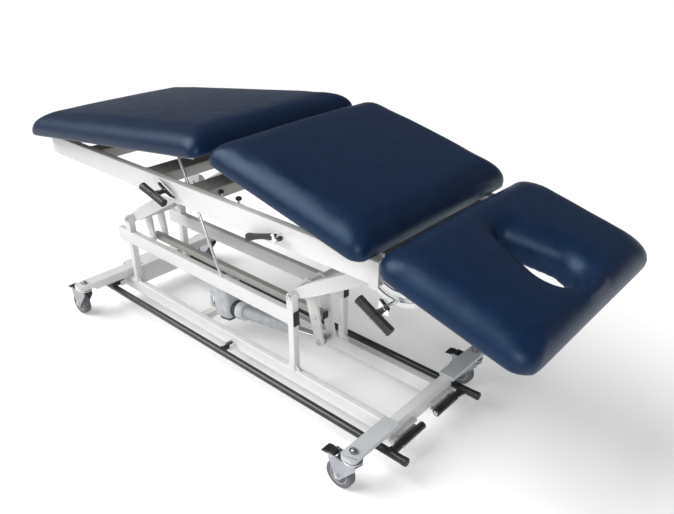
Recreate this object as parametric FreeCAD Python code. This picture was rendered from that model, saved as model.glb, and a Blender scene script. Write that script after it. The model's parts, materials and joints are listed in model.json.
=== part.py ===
import FreeCAD, Part
import os
from math import asin, atan2, cos, degrees, hypot, radians, sin

V = FreeCAD.Vector
ALONG_X = V(1, 0, 0)
ALONG_Y = V(0, 1, 0)
ALONG_Z = V(0, 0, 1)
TIP_UP = V(0, -1, 0)

# Driving dimensions, in millimetres and degrees.
# X runs from the foot end to the head end, Y from the near side to the far side, Z up.

# Levels that everything above the wheels follows
wheel_diameter = 90.0
caster_room = 37.0           # top of a wheel to the seat of its caster
caster_height = wheel_diameter + caster_room

# Running gear and base frame
bar_size = 25.0              # width of the square frame tube
wall = 2.5                   # wall of the frame tubes
base_half_width = 132.0      # outer faces of the base rails
lower_rail_bottom = caster_height - 62.0
lower_rail_depth = 50.0
lower_rail_foot_x = -875.0
upper_rail_top = caster_height + 208.0
upper_rail_depth = 52.0
upper_rail_foot_x = -834.0
frame_head_x = 145.0         # head end of the upper rails and of the head posts
foot_post_x = -774.0         # foot face of the foot posts
gusset_size = 22.0
end_cap_thickness = 4.0

# Casters
arm_top = caster_height + 20.0   # top of the outriggers that carry the casters
caster_y = 312.0
head_caster_x = 546.0
foot_caster_x = -843.0
wheel_width = 28.0
hub_diameter = 60.0
caster_trail = 44.0
axle_radius = 4.0
stem_radius = 6.0
fork_plate = 3.0
outrigger_width = 52.0
outrigger_end_y = 343.0
pedal_reach = 103.0

# Cross-members of the base
head_cross_x = 524.0
head_cross_width = 30.0
head_cross_depth = 50.0
head_cross_half = 160.0
head_plate_depth = 14.0
head_plate_inner_y = 140.0
foot_cross_x = -890.0
foot_cross_width = 88.0
foot_cross_depth = 80.0
foot_hole_radius = 5.0
foot_hole_spacing_x = 48.0
foot_hole_spacing_y = 120.0

# Foot bars that switch the drive
foot_bar_radius = 12.5
foot_bar_y = 191.0
foot_bar_z = caster_height - 46.0
foot_bar_foot_x = -899.0
foot_bar_head_x = 637.0
foot_bar_pivot_y = 146.0
foot_bar_arm_radius = 10.0
foot_bar_arm_x = (-857.0, -165.0)
switch_arm_x = 583.0
switch_arm_inner_y = 34.0
bar_pin_radius = 4.0

# Lift linkage
pivot_z = caster_height + 260.0
pivot_head_x = 131.0
pivot_foot_x = -760.0
arm_length = 500.0
arm_angle = 30.0
arm_depth = 45.0
arm_nose_radius = 17.0
arm_gap = 2.0                # between an arm and the inner face of its rail
arm_inner_y = base_half_width - 2 * bar_size - arm_gap
bolt_radius = 6.0
bolt_head_radius = 10.0
bolt_head = 6.0
running_gap = 0.05           # radial clearance of a pin in its bore
torque_tube_radius = 19.0
lever_angle = -78.0
tie_lever = 106.0
drive_lever = 197.3
lever_thickness = 8.0
lever_y = -12.5              # plane of the tie bar and the actuator
lever_gap = 49.0             # clear space between the two plates of a lever

# Actuator
mount_tube_depth = 25.0      # cross tube that carries its tail
mount_tube_width = 30.0
actuator_slope = 8.8
actuator_length = 570.0
actuator_tube_radius = 25.0
actuator_rod_radius = 15.0
actuator_rod_gap = 0.3
actuator_tube_start = 175.0
actuator_tube_end = 430.0
actuator_rod_inner = 250.0   # rod length from its eye to its inner end
tail_slot_rise = 28.0        # room that the opened tail pivot needs above rest
tail_slot_play = 3.8         # room that it needs to each side

# Top frame
rail_half_width = 280.0
top_rail_top = pivot_z + 335.0
top_rail_depth = 66.0
top_rail_foot_x = -935.0
top_rail_head_x = 586.0
cross_bottom = top_rail_top - 38.0
cross_depth = 36.0
foot_end_cross = (-915.0, -880.0)
leg_cross = (-710.0, -640.0)
foot_pivot_cross = (-375.0, -285.0)
lock_cross = (-150.0, -66.0)
spring_cross = (398.0, 434.0)
head_pivot_cross = (515.0, 550.0)
head_cross_drop = 14.0       # how far the head cross-member sits below the others
top_lug_thickness = 6.0
ear_thickness = 8.0
ear_gap = 3.0
hinge_pin_radius = 5.0

# Sections of the top
table_width = 686.0
cushion_thickness = 73.5
cushion_corner = 55.0
cushion_top_round = 32.0
cushion_bottom_round = 8.0
board_thickness = 12.0
board_inset = 16.0
hinge_z = top_rail_top - 10.0
seat_rise = 15.0             # underside of a section above its hinge when flat
foot_hinge_x = -945.0
foot_angle = 7.35
foot_start = -29.0
foot_end = 959.0
mid_hinge_x = 560.0
mid_angle = 13.44
mid_start = -533.0
mid_end = 3.0
head_hinge_x = 600.0
head_angle = 15.56
head_start = 5.0
head_end = 407.0
bumper_x = (-32.0, 46.0)
bumper_y = 232.0
bumper_radius = 9.0

# Opening for the face
face_centre = 268.0          # from the inner end of the head section
face_radius = 62.0
face_tip = 138.0             # centre of the small end, from the same place
face_tip_radius = 20.0

# Prop rod of the foot section, its lock and its slotted bracket
prop_radius = 4.5
prop_y = -238.0
prop_top = (-220.0, top_rail_top + 78.0)
prop_slope = (-0.407, 0.9134)
prop_length = 403.0
prop_pin_radius = 4.0
prop_slot_half = 42.0
prop_slot_play = 4.6
clutch_x = (-258.0, -150.0)
clutch_z = (top_rail_top - 58.0, top_rail_top - 23.0)
clutch_half_thickness = 12.0

# Gas spring of the middle section
spring_y = 45.0
spring_pivot = (395.0, top_rail_top - 54.0)
spring_top = (150.0, top_rail_top + 80.0)
spring_radius = 11.0
spring_rod_radius = 4.0
spring_slot_play = 7.0

# Handles
grip_radius = 10.5
grip_length = 115.0
grip_y = -320.0
foot_handle = (-248.0, top_rail_top - 41.0)
mid_handle = (262.0, top_rail_top - 32.0)
head_handle = (610.0, top_rail_top - 112.0)
handle_shaft_radius = 6.0
quadrant_y = -223.0
quadrant_thickness = 6.0
quadrant_low = -124.5        # ends of the slot, from the +X direction
quadrant_high = -50.0
quadrant_end = 4.5           # how far the plate reaches past each end of the slot


def box(x0, x1, y0, y1, z0, z1):
    """Block between two corners, given in any order."""
    corner = V(min(x0, x1), min(y0, y1), min(z0, z1))
    return Part.makeBox(abs(x1 - x0), abs(y1 - y0), abs(z1 - z0), corner)


def rod(start, axis, radius, length):
    return Part.makeCylinder(radius, length, V(*start), axis)


def rod_y(x, z, radius, y0, y1):
    """Round bar along Y between two sides."""
    return rod((x, min(y0, y1), z), ALONG_Y, radius, abs(y1 - y0))


def tube_x(x0, x1, y0, y1, z0, z1):
    """Open rectangular tube along X."""
    outer = box(x0, x1, y0, y1, z0, z1)
    low_y = min(y0, y1) + wall
    high_y = max(y0, y1) - wall
    return outer.cut(box(x0 - 1, x1 + 1, low_y, high_y, z0 + wall, z1 - wall))


def tube_y(x0, x1, y0, y1, z0, z1):
    """Open rectangular tube along Y."""
    outer = box(x0, x1, y0, y1, z0, z1)
    return outer.cut(box(x0 + wall, x1 - wall, y0 - 1, y1 + 1, z0 + wall, z1 - wall))


def tube_z(x0, x1, y0, y1, z0, z1):
    """Open rectangular tube along Z."""
    outer = box(x0, x1, y0, y1, z0, z1)
    low_y = min(y0, y1) + wall
    high_y = max(y0, y1) - wall
    return outer.cut(box(x0 + wall, x1 - wall, low_y, high_y, z0 - 1, z1 + 1))


def mirrored(shape):
    """The same piece on the far side."""
    return shape.mirror(V(0, 0, 0), ALONG_Y)


def both_sides(shape):
    return [shape, mirrored(shape)]


def fused(shapes):
    """One solid from touching shapes, without seams in its flat faces."""
    whole = shapes[0]
    for shape in shapes[1:]:
        whole = whole.fuse(shape)
    return whole.removeSplitter()


def raised(shape, pivot, angle):
    """Turn about an axis along Y so that what lies towards the head end goes up."""
    turned = shape.copy()
    turned.rotate(V(pivot[0], 0, pivot[1]), TIP_UP, angle)
    return turned


def prism_y(points, y0, y1):
    """Flat plate from an outline in X and Z."""
    low = min(y0, y1)
    corners = [V(x, low, z) for x, z in points]
    face = Part.Face(Part.makePolygon(corners + corners[:1]))
    return face.extrude(V(0, abs(y1 - y0), 0))


def link_y(length, start_radius, end_radius, y0, y1):
    """Tapered link along X with round ends, its first eye on the origin."""
    quad = [(0, -start_radius), (length, -end_radius), (length, end_radius), (0, start_radius)]
    return fused([
        prism_y(quad, y0, y1),
        rod_y(0, 0, start_radius, y0, y1),
        rod_y(length, 0, end_radius, y0, y1),
    ])


def placed(shape, point, angle):
    """Move a link from the origin to its pivot and turn it up by an angle."""
    moved = raised(shape, (0, 0), angle)
    moved.translate(V(point[0], 0, point[1]))
    return moved


def polar(point, radius, angle):
    """Point at a distance and an angle above the +X direction."""
    return (point[0] + radius * cos(radians(angle)), point[1] + radius * sin(radians(angle)))


# Points of the linkage at rest
head_pivot = (pivot_head_x, pivot_z)
foot_pivot = (pivot_foot_x, pivot_z)
head_arm_tip = polar(head_pivot, arm_length, arm_angle)
foot_arm_tip = polar(foot_pivot, arm_length, arm_angle)
head_tie_pin = polar(head_pivot, tie_lever, lever_angle)
foot_tie_pin = polar(foot_pivot, tie_lever, lever_angle)
drive_pin = polar(head_pivot, drive_lever, lever_angle)
tail_pin = polar(drive_pin, -actuator_length, actuator_slope)
base_inner_y = base_half_width - bar_size
arm_outer_y = arm_inner_y + bar_size
rail_inner_y = rail_half_width - bar_size
frame_ear_y = rail_inner_y - ear_thickness
section_ear_y = frame_ear_y - ear_gap
cross_top = cross_bottom + cross_depth
spring_reach = hypot(spring_top[0] - spring_pivot[0], spring_top[1] - spring_pivot[1])
spring_angle = degrees(atan2(spring_top[1] - spring_pivot[1], spring_top[0] - spring_pivot[0]))
head_handle_reach = hypot(head_handle[0] - head_hinge_x, head_handle[1] - hinge_z)


# Base frame

def lower_rails():
    z0 = lower_rail_bottom
    rail = tube_x(lower_rail_foot_x, head_cross_x, -base_half_width, -base_inner_y, z0, z0 + lower_rail_depth)
    return both_sides(rail)


def upper_rails():
    z0 = upper_rail_top - upper_rail_depth
    rail = tube_x(upper_rail_foot_x, frame_head_x, -base_half_width, -base_inner_y, z0, upper_rail_top)
    return both_sides(rail)


def rail_end_caps():
    z0 = upper_rail_top - upper_rail_depth
    x1 = frame_head_x + end_cap_thickness
    cap = box(frame_head_x, x1, -base_half_width, -base_inner_y, z0, upper_rail_top)
    return both_sides(cap)


def frame_posts():
    """Four posts between the lower and upper rails, with a gusset at each foot."""
    z0 = lower_rail_bottom + lower_rail_depth
    z1 = upper_rail_top - upper_rail_depth
    pieces = []
    for x0 in (foot_post_x, frame_head_x - bar_size):
        x1 = x0 + bar_size
        pieces += both_sides(tube_z(x0, x1, -base_half_width, -base_inner_y, z0, z1))
        for edge, reach in ((x0, -gusset_size), (x1, gusset_size)):
            corner = [(edge, z0), (edge + reach, z0), (edge, z0 + gusset_size)]
            middle = base_half_width - bar_size / 2
            pieces += both_sides(prism_y(corner, -middle - wall, -middle + wall))
    return pieces


def end_crossmembers():
    """Deep channel at the foot end and square tube at the head end."""
    z0 = arm_top - foot_cross_depth
    x1 = foot_cross_x + foot_cross_width
    foot = box(foot_cross_x, x1, -base_inner_y, base_inner_y, z0, arm_top)
    inner = box(foot_cross_x + wall, x1 - wall, -base_inner_y - 1, base_inner_y + 1, z0 - 1, arm_top - wall)
    foot = foot.cut(inner)
    for x in foot_hole_xs():
        for y in (-foot_hole_spacing_y / 2, foot_hole_spacing_y / 2):
            foot = foot.cut(rod((x, y, arm_top - wall - 1), ALONG_Z, foot_hole_radius, wall + 2))
    top = arm_top - head_plate_depth
    x1 = head_cross_x + head_cross_width
    head = tube_y(head_cross_x, x1, -head_cross_half, head_cross_half, top - head_cross_depth, top)
    return [foot, head]


def foot_hole_xs():
    """X of the two rows of bolt holes in the foot cross-member."""
    middle = foot_cross_x + foot_cross_width / 2
    return (middle - foot_hole_spacing_x / 2, middle + foot_hole_spacing_x / 2)


def foot_outriggers():
    """Pressed arms out to the foot casters, stepped down over the caster seat."""
    x0 = foot_caster_x - outrigger_width / 2
    x1 = foot_caster_x + outrigger_width / 2
    z0 = lower_rail_bottom + lower_rail_depth
    seat_y = -caster_y + outrigger_width / 2 + 12
    arm = box(x0, x1, -outrigger_end_y, -base_inner_y, z0, arm_top)
    arm = arm.cut(box(x0 - 1, x1 + 1, -outrigger_end_y - 1, seat_y, z0 - 1, caster_height))
    hollow = box(x0 + wall, x1 - wall, seat_y + wall, -base_inner_y + 1, z0 - 1, arm_top - wall)
    arm = arm.cut(hollow)
    arm = arm.cut(rod((foot_caster_x, -caster_y, z0), ALONG_Z, stem_radius + running_gap, 99))
    return both_sides(rounded_end(arm, foot_caster_x))


def rounded_end(arm, x):
    """Round the outer corners of an outrigger."""
    uprights = []
    for edge in arm.Edges:
        low = edge.BoundBox
        upright = low.ZLength > 5 and low.XLength < 0.1 and low.YLength < 0.1
        if upright and low.YMax < -outrigger_end_y + 1 and abs(low.XMax - x) > 5:
            uprights.append(edge)
    return arm.makeFillet(outrigger_width * 0.3, uprights)


def head_caster_plates():
    """Wide pressed plates at the head end, each with a boss over its caster."""
    x0 = head_caster_x - outrigger_width / 2
    x1 = head_caster_x + outrigger_width / 2
    z0 = arm_top - head_plate_depth
    plate = box(x0, x1, -outrigger_end_y, -head_plate_inner_y, z0, arm_top)
    plate = rounded_end(plate, head_caster_x)
    hollow_y = -caster_y + outrigger_width / 2 + 4
    plate = plate.cut(box(x0 + 4, x1 - 4, hollow_y, -head_cross_half - 4, z0 - 1, arm_top - 4))
    boss = rod((head_caster_x, -caster_y, caster_height), ALONG_Z, outrigger_width * 0.42, z0 - caster_height)
    plate = fused([plate, boss])
    plate = plate.cut(rod((head_caster_x, -caster_y, 100), ALONG_Z, stem_radius + running_gap, 99))
    return both_sides(plate)


def pivot_lugs():
    """Blocks on the upper rails that hold the lower ends of the lift arms."""
    pieces = []
    half = 14.0
    for x in (pivot_head_x, pivot_foot_x):
        block = box(x - half, x + half, -base_half_width, -base_inner_y, upper_rail_top, pivot_z)
        crown = rod_y(x, pivot_z, half, -base_half_width, -base_inner_y)
        lug = fused([block, crown])
        lug = lug.cut(rod_y(x, pivot_z, bolt_radius, -base_half_width - 1, -base_inner_y + 1))
        pieces += both_sides(lug)
    return pieces


def base_pivot_bolts():
    pieces = []
    for x in (pivot_head_x, pivot_foot_x):
        shank = rod_y(x, pivot_z, bolt_radius, -base_half_width, -arm_inner_y)
        head = rod_y(x, pivot_z, bolt_head_radius, -base_half_width - bolt_head, -base_half_width)
        pieces += both_sides(fused([shank, head]))
    return pieces


def actuator_mount():
    """Cross tube with two slotted ears for the tail of the actuator."""
    x, z = tail_pin
    half_tube = mount_tube_width / 2
    z0 = lower_rail_bottom
    tube_top = z0 + mount_tube_depth
    tube = tube_y(x - half_tube, x + half_tube, -base_inner_y, base_inner_y, z0, tube_top)
    pieces = [tube]
    slot_half = bolt_radius + tail_slot_play
    slot_low = z - bolt_radius - 2
    slot_high = z + tail_slot_rise
    for side in (-1, 1):
        inner = lever_y + side * 16.0
        outer = inner + side * 6.0
        ear = box(x - 19, x + 15, inner, outer, tube_top, slot_high + 24)
        y0 = min(inner, outer) - 1
        y1 = max(inner, outer) + 1
        slot = box(x - slot_half, x + slot_half, y0, y1, slot_low, slot_high)
        ear = ear.cut(slot).cut(rod_y(x, slot_high, slot_half, y0, y1))
        pieces.append(ear)
    return pieces


def foot_bar_brackets():
    """Ears on the rails and head cross-member that hold the pivots of the foot bars."""
    pieces = []
    ear_half = 11.0
    z0 = foot_bar_z - ear_half
    z1 = foot_bar_z + ear_half
    outer_y = -foot_bar_pivot_y - ear_half
    for x in foot_bar_arm_x:
        for side in (-1, 1):
            inner = x + side * (foot_bar_arm_radius + 1)
            ear = box(inner, inner + side * 4, outer_y, -base_half_width, z0, z1)
            pieces += both_sides(ear.cut(bar_pin_hole()))
    cross_face = head_cross_x + head_cross_width
    block_end = switch_arm_x - foot_bar_radius - 1
    lug = box(cross_face, block_end, outer_y, outer_y + 2 * ear_half, z0 + 4, z1)
    pieces += both_sides(lug.cut(bar_pin_hole()))
    channel_y = outer_y + 2 * ear_half
    channel = box(cross_face, block_end, channel_y, -switch_arm_inner_y - 10, z0 + 4, z1 + 8)
    channel = channel.cut(box(cross_face + 3, block_end + 1, -999, 0, z0 + 8, z1 + 4))
    pieces += both_sides(channel)
    return pieces


def bar_pin_hole():
    return rod((-1000, -foot_bar_pivot_y, foot_bar_z), ALONG_X, bar_pin_radius, 2000)


def foot_bar_pins():
    """Short pins on which the foot bars rock."""
    pieces = []
    for x in foot_bar_arm_x:
        reach = foot_bar_arm_radius + 6
        pin = rod((x - reach, -foot_bar_pivot_y, foot_bar_z), ALONG_X, bar_pin_radius, 2 * reach)
        pieces += both_sides(pin)
    start = head_cross_x + head_cross_width
    end = switch_arm_x + foot_bar_radius + 4
    pin = rod((start, -foot_bar_pivot_y, foot_bar_z), ALONG_X, bar_pin_radius, end - start)
    pieces += both_sides(pin)
    return pieces


def foot_bar():
    """Long tube beside the base with its end caps, short arms and switch arm."""
    y = -foot_bar_y
    z = foot_bar_z
    length = foot_bar_head_x - foot_bar_foot_x
    outer = rod((foot_bar_foot_x, y, z), ALONG_X, foot_bar_radius, length)
    tube = outer.cut(rod((foot_bar_foot_x - 1, y, z), ALONG_X, foot_bar_radius - wall, length + 2))
    cap_radius = foot_bar_radius + 0.8
    cap_length = 5.0
    pieces = [tube]
    for x in (foot_bar_foot_x - cap_length, foot_bar_head_x):
        pieces.append(rod((x, y, z), ALONG_X, cap_radius, cap_length))
    pin_bore = rod((-1000, -foot_bar_pivot_y, z), ALONG_X, bar_pin_radius + running_gap, 2000)
    for x in foot_bar_arm_x:
        arm = rod_y(x, z, foot_bar_arm_radius, y, -base_half_width - 3)
        pieces.append(arm.cut(outer).cut(pin_bore))
    arm = rod_y(switch_arm_x, z, foot_bar_radius - 0.5, y, -switch_arm_inner_y)
    pieces.append(arm.cut(outer).cut(pin_bore))
    return pieces


# Lift linkage

def lift_arm(pivot):
    """Two side arms welded to a torque tube."""
    half = arm_depth / 2
    taper = 90.0
    boss = 34.0
    side = fused([
        link_y(taper, arm_nose_radius, half, -arm_outer_y, -arm_inner_y),
        box(taper, arm_length, -arm_outer_y, -arm_inner_y, -half, half),
        rod_y(arm_length, 0, half, -arm_outer_y, -arm_inner_y),
    ])
    y0 = -arm_outer_y + wall
    y1 = -arm_inner_y - wall
    side = side.cut(box(taper, arm_length - boss, y0, y1, -half - 1, half - wall))
    for x in (0, arm_length):
        side = side.cut(rod_y(x, 0, bolt_radius + running_gap, -arm_outer_y - 1, -arm_inner_y + 1))
    side = placed(side, pivot, arm_angle)
    tube = rod_y(pivot[0], pivot[1], torque_tube_radius, -arm_inner_y, arm_inner_y)
    tube = tube.cut(rod_y(pivot[0], pivot[1], torque_tube_radius - wall * 2, -arm_inner_y, arm_inner_y))
    return both_sides(side) + [tube]


def lift_lever(pivot, length, pins):
    """Pair of lever plates hanging from the torque tube."""
    pieces = []
    for side in (-1, 1):
        inner = lever_y + side * lever_gap / 2
        outer = inner + side * lever_thickness
        plate = link_y(length, torque_tube_radius + 8, 17.0, inner, outer)
        y0 = min(inner, outer) - 1
        y1 = max(inner, outer) + 1
        plate = plate.cut(rod_y(0, 0, torque_tube_radius, y0, y1))
        for reach in pins:
            plate = plate.cut(rod_y(reach, 0, bolt_radius, y0, y1))
        pieces.append(placed(plate, pivot, lever_angle))
    return pieces


def lever_pins(points):
    """Headed pins through the lever plates."""
    half = lever_gap / 2 + lever_thickness
    pieces = []
    for x, z in points:
        shank = rod_y(x, z, bolt_radius, lever_y - half, lever_y + half)
        near_head = rod_y(x, z, bolt_head_radius - 1, lever_y - half - 4, lever_y - half)
        far_head = rod_y(x, z, bolt_head_radius - 1, lever_y + half, lever_y + half + 4)
        pieces.append(fused([shank, near_head, far_head]))
    return pieces


def tie_bar():
    half = bar_size / 2
    overhang = 17.0
    z = head_tie_pin[1]
    y0 = lever_y - half
    y1 = lever_y + half
    bar = tube_x(foot_tie_pin[0] - overhang, head_tie_pin[0] + overhang, y0, y1, z - half, z + half)
    for point in (foot_tie_pin, head_tie_pin):
        bar = bar.cut(rod_y(point[0], z, bolt_radius + running_gap, y0 - 1, y1 + 1))
    return [bar]


def tie_bar_caps():
    half = bar_size / 2
    overhang = 17.0
    z = head_tie_pin[1]
    pieces = []
    for x, direction in ((foot_tie_pin[0] - overhang, -1), (head_tie_pin[0] + overhang, 1)):
        x1 = x + direction * end_cap_thickness
        pieces.append(box(x, x1, lever_y - half, lever_y + half, z - half, z + half))
    return pieces


# Actuator, drawn along X from its tail pin and then set on its slope

def set_actuator(shape):
    return placed(shape, tail_pin, actuator_slope)


def actuator_rod():
    start = actuator_length - actuator_rod_inner
    eye_radius = 17.0
    eye_half = 12.0
    shaft = rod((start, lever_y, 0), ALONG_X, actuator_rod_radius, actuator_rod_inner - eye_radius + 4)
    eye = rod_y(actuator_length, 0, eye_radius, lever_y - eye_half, lever_y + eye_half)
    neck_start = actuator_length - eye_radius - 8
    neck = box(neck_start, actuator_length, lever_y - eye_half, lever_y + eye_half, -12, 12)
    whole = fused([shaft, eye, neck])
    bore = rod_y(actuator_length, 0, bolt_radius + running_gap, lever_y - 40, lever_y + 40)
    return [set_actuator(whole.cut(bore))]


def actuator_tube():
    length = actuator_tube_end - actuator_tube_start
    tube = rod((actuator_tube_start, lever_y, 0), ALONG_X, actuator_tube_radius, length)
    bore = rod((0, lever_y, 0), ALONG_X, actuator_rod_radius + actuator_rod_gap, 600)
    nose = rod((actuator_tube_end - 22, lever_y, 0), ALONG_X, actuator_tube_radius + 2, 22)
    return [set_actuator(fused([tube, nose]).cut(bore))]


def actuator_motor():
    """Motor housing across the tail, gear ring, collar, tail eye and tail pin."""
    housing = box(33, 115, lever_y - 44, lever_y + 40, -30, 118)
    housing = housing.makeFillet(14, housing.Edges)
    end_cover = box(42, 106, lever_y - 36, lever_y + 32, -40, -30)
    ring = rod((115, lever_y, 0), ALONG_X, 33, 25)
    collar = rod((140, lever_y, 0), ALONG_X, 35, actuator_tube_start - 140)
    bore = rod((138, lever_y, 0), ALONG_X, actuator_rod_radius + actuator_rod_gap, 60)
    tail = link_y(33, 13, 13, lever_y - 11, lever_y + 11)
    pin = rod_y(0, 0, bolt_radius, lever_y - 24, lever_y + 24)
    body = fused([tail.cut(box(33, 60, -99, 99, -99, 99)), pin])
    pieces = [housing, end_cover, ring, collar.cut(bore), body]
    return [set_actuator(piece) for piece in pieces]


# Top frame

def top_side_rails():
    z0 = top_rail_top - top_rail_depth
    rail = tube_x(top_rail_foot_x, top_rail_head_x, -rail_half_width, -rail_inner_y, z0, top_rail_top)
    for x, z in (foot_handle, mid_handle):
        bore = handle_shaft_radius + running_gap
        rail = rail.cut(rod_y(x, z, bore, -rail_half_width - 1, -rail_inner_y + 1))
    far = tube_x(top_rail_foot_x, top_rail_head_x, rail_inner_y, rail_half_width, z0, top_rail_top)
    return [rail, far]


def top_crossmembers():
    pieces = []
    for x0, x1 in (foot_end_cross, leg_cross, foot_pivot_cross, lock_cross, spring_cross):
        pieces.append(tube_y(x0, x1, -rail_inner_y, rail_inner_y, cross_bottom, cross_top))
    x0, x1 = head_pivot_cross
    z0 = cross_bottom - head_cross_drop
    pieces.append(tube_y(x0, x1, -rail_inner_y, rail_inner_y, z0, z0 + 30))
    return pieces


def top_pivot_lugs():
    """Plates under the cross-members that hold the upper ends of the lift arms."""
    y0 = -arm_outer_y - 2 - top_lug_thickness
    y1 = -arm_outer_y - 2
    pieces = []
    tips = ((foot_arm_tip, foot_pivot_cross, cross_bottom),
            (head_arm_tip, head_pivot_cross, cross_bottom - head_cross_drop))
    for tip, cross, top in tips:
        left = max(cross[0], tip[0] - 45)
        right = min(cross[1], tip[0] + 30)
        outline = [(left, top), (right, top), (tip[0] + 19, tip[1]), (tip[0] - 19, tip[1])]
        lug = fused([prism_y(outline, y0, y1), rod_y(tip[0], tip[1], 20, y0, y1)])
        pieces += both_sides(lug.cut(rod_y(tip[0], tip[1], bolt_radius, y0 - 1, y1 + 1)))
    return pieces


def top_frame_bolts():
    """Bolts of the upper arm pivots and pins of the three section hinges."""
    pieces = []
    lug_face = -arm_outer_y - 2 - top_lug_thickness
    for x, z in (foot_arm_tip, head_arm_tip):
        shank = rod_y(x, z, bolt_radius, lug_face, -arm_inner_y)
        head = rod_y(x, z, bolt_head_radius, lug_face - bolt_head, lug_face)
        pieces += both_sides(fused([shank, head]))
    for x in (foot_hinge_x, mid_hinge_x, head_hinge_x):
        inner = -section_ear_y + ear_thickness + 3
        pieces += both_sides(rod_y(x, hinge_z, hinge_pin_radius, -rail_inner_y, inner))
    return pieces


def frame_hinge_ears():
    """Ears inside the side rails that carry the hinge pins, and the gas spring fork."""
    pieces = []
    reaches = ((foot_hinge_x, foot_end_cross[0]), (mid_hinge_x - 30, mid_hinge_x + 12),
               (head_hinge_x - 26, head_hinge_x))
    pins = (foot_hinge_x, mid_hinge_x, head_hinge_x)
    for (x0, x1), pin in zip(reaches, pins):
        z0 = hinge_z - 9
        block = box(x0, x1, -rail_inner_y, -frame_ear_y, z0, hinge_z + 9)
        crown = rod_y(pin, hinge_z, 9, -rail_inner_y, -frame_ear_y)
        ear = fused([block, crown])
        ear = ear.cut(rod_y(pin, hinge_z, hinge_pin_radius, -rail_inner_y - 1, -frame_ear_y + 1))
        pieces += both_sides(ear)
    x, z = spring_pivot
    for side in (-1, 1):
        y0 = spring_y + side * 14
        fork = box(x - 10, x + 14, y0, y0 + side * 5, z, cross_bottom)
        fork = fused([fork, rod_y(x, z, 10, y0, y0 + side * 5)])
        pieces.append(fork.cut(rod_y(x, z, prop_pin_radius, y0 - 9, y0 + 9)))
    return pieces


def foot_lock_clutch():
    """Block beside the near rail that grips the prop rod."""
    y0 = prop_y - clutch_half_thickness
    y1 = prop_y + clutch_half_thickness
    block = box(clutch_x[0], clutch_x[1], y0, y1, clutch_z[0], clutch_z[1])
    block = block.makeFillet(4, [e for e in block.Edges if abs(e.BoundBox.YLength) > 5])
    shaft_hole = rod_y(foot_handle[0], foot_handle[1], handle_shaft_radius + running_gap, y0 - 1, y1 + 1)
    return [block.cut(shaft_hole).cut(prop_line(prop_radius + 0.3, 200, 600))]


def prop_line(radius, before, length):
    """Cylinder on the line of the prop rod, starting some way above its top pin."""
    dx, dz = prop_slope
    start = V(prop_top[0] + dx * before, prop_y, prop_top[1] + dz * before)
    return Part.makeCylinder(radius, length, start, V(-dx, 0, -dz))


def rest_bumpers():
    """Rubber bumpers on brackets inside the rails, under the free ends of two sections."""
    pieces = []
    top = hinge_z + seat_rise - 0.5
    for x in bumper_x:
        stem_bottom = top - 26
        foot = box(x - 12, x + 12, -rail_inner_y, -bumper_y + 10, stem_bottom - 3, stem_bottom)
        stem = rod((x, -bumper_y, stem_bottom), ALONG_Z, 4, 18)
        pad = rod((x, -bumper_y, top - 10), ALONG_Z, bumper_radius, 10)
        pieces += both_sides(fused([foot, stem, pad]))
    return pieces


def head_lock_quadrant():
    """Curved slot plate under the head cross-member, centred on the head hinge."""
    reach = head_handle_reach
    y0 = quadrant_y - quadrant_thickness / 2
    half = 19.0
    low = quadrant_low - quadrant_end
    high = quadrant_high + quadrant_end
    slot_half = handle_shaft_radius + 0.5
    band = sector(reach + half, y0, low, high)
    band = band.cut(rod_y(head_hinge_x, hinge_z, reach - half, y0 - 1, y0 + quadrant_thickness + 1))
    slot = sector(reach + slot_half, y0, quadrant_low, quadrant_high)
    slot = slot.cut(rod_y(head_hinge_x, hinge_z, reach - slot_half, y0 - 1, y0 + quadrant_thickness + 1))
    x0, x1 = head_pivot_cross
    z0 = cross_bottom - head_cross_drop
    web = box(x0, x1, y0, y0 + quadrant_thickness, z0 - 62, z0)
    web = web.cut(rod_y(head_hinge_x, hinge_z, reach + half - 1, y0 - 1, y0 + quadrant_thickness + 1))
    return [fused([band.cut(slot), web])]


def sector(radius, y0, low, high):
    """Pie piece about the head hinge between two angles above the +X direction."""
    centre = V(head_hinge_x, y0, hinge_z)
    pie = Part.makeCylinder(radius, quadrant_thickness, centre, ALONG_Y, high - low)
    mass = pie.CenterOfMass
    middle = degrees(atan2(mass.z - centre.z, mass.x - centre.x))
    pie.rotate(centre, TIP_UP, (low + high) / 2 - middle)
    return pie


# Sections of the top, drawn flat with the hinge axis on the origin

def cushion(x0, x1, opening=None):
    half = table_width / 2
    z0 = seat_rise
    z1 = seat_rise + cushion_thickness
    pad = box(x0, x1, -half, half, z0, z1)
    pad = pad.makeFillet(cushion_corner, [e for e in pad.Edges if e.BoundBox.ZLength > 10])
    top = [e for e in pad.Edges if e.BoundBox.ZMin > z1 - 0.1]
    pad = pad.makeFillet(cushion_top_round, top)
    bottom = [e for e in pad.Edges if e.BoundBox.ZMax < z0 + 0.1]
    pad = pad.makeFillet(cushion_bottom_round, bottom)
    pad = pad.cut(board(x0, x1))
    if opening:
        pad = pad.cut(opening)
    return pad


def board(x0, x1, opening=None):
    half = table_width / 2 - board_inset
    plate = box(x0 + board_inset, x1 - board_inset, -half, half, seat_rise, seat_rise + board_thickness)
    corner = cushion_corner - board_inset
    plate = plate.makeFillet(corner, [e for e in plate.Edges if e.BoundBox.ZLength > 5])
    if opening:
        plate = plate.cut(opening)
    return plate


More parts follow.
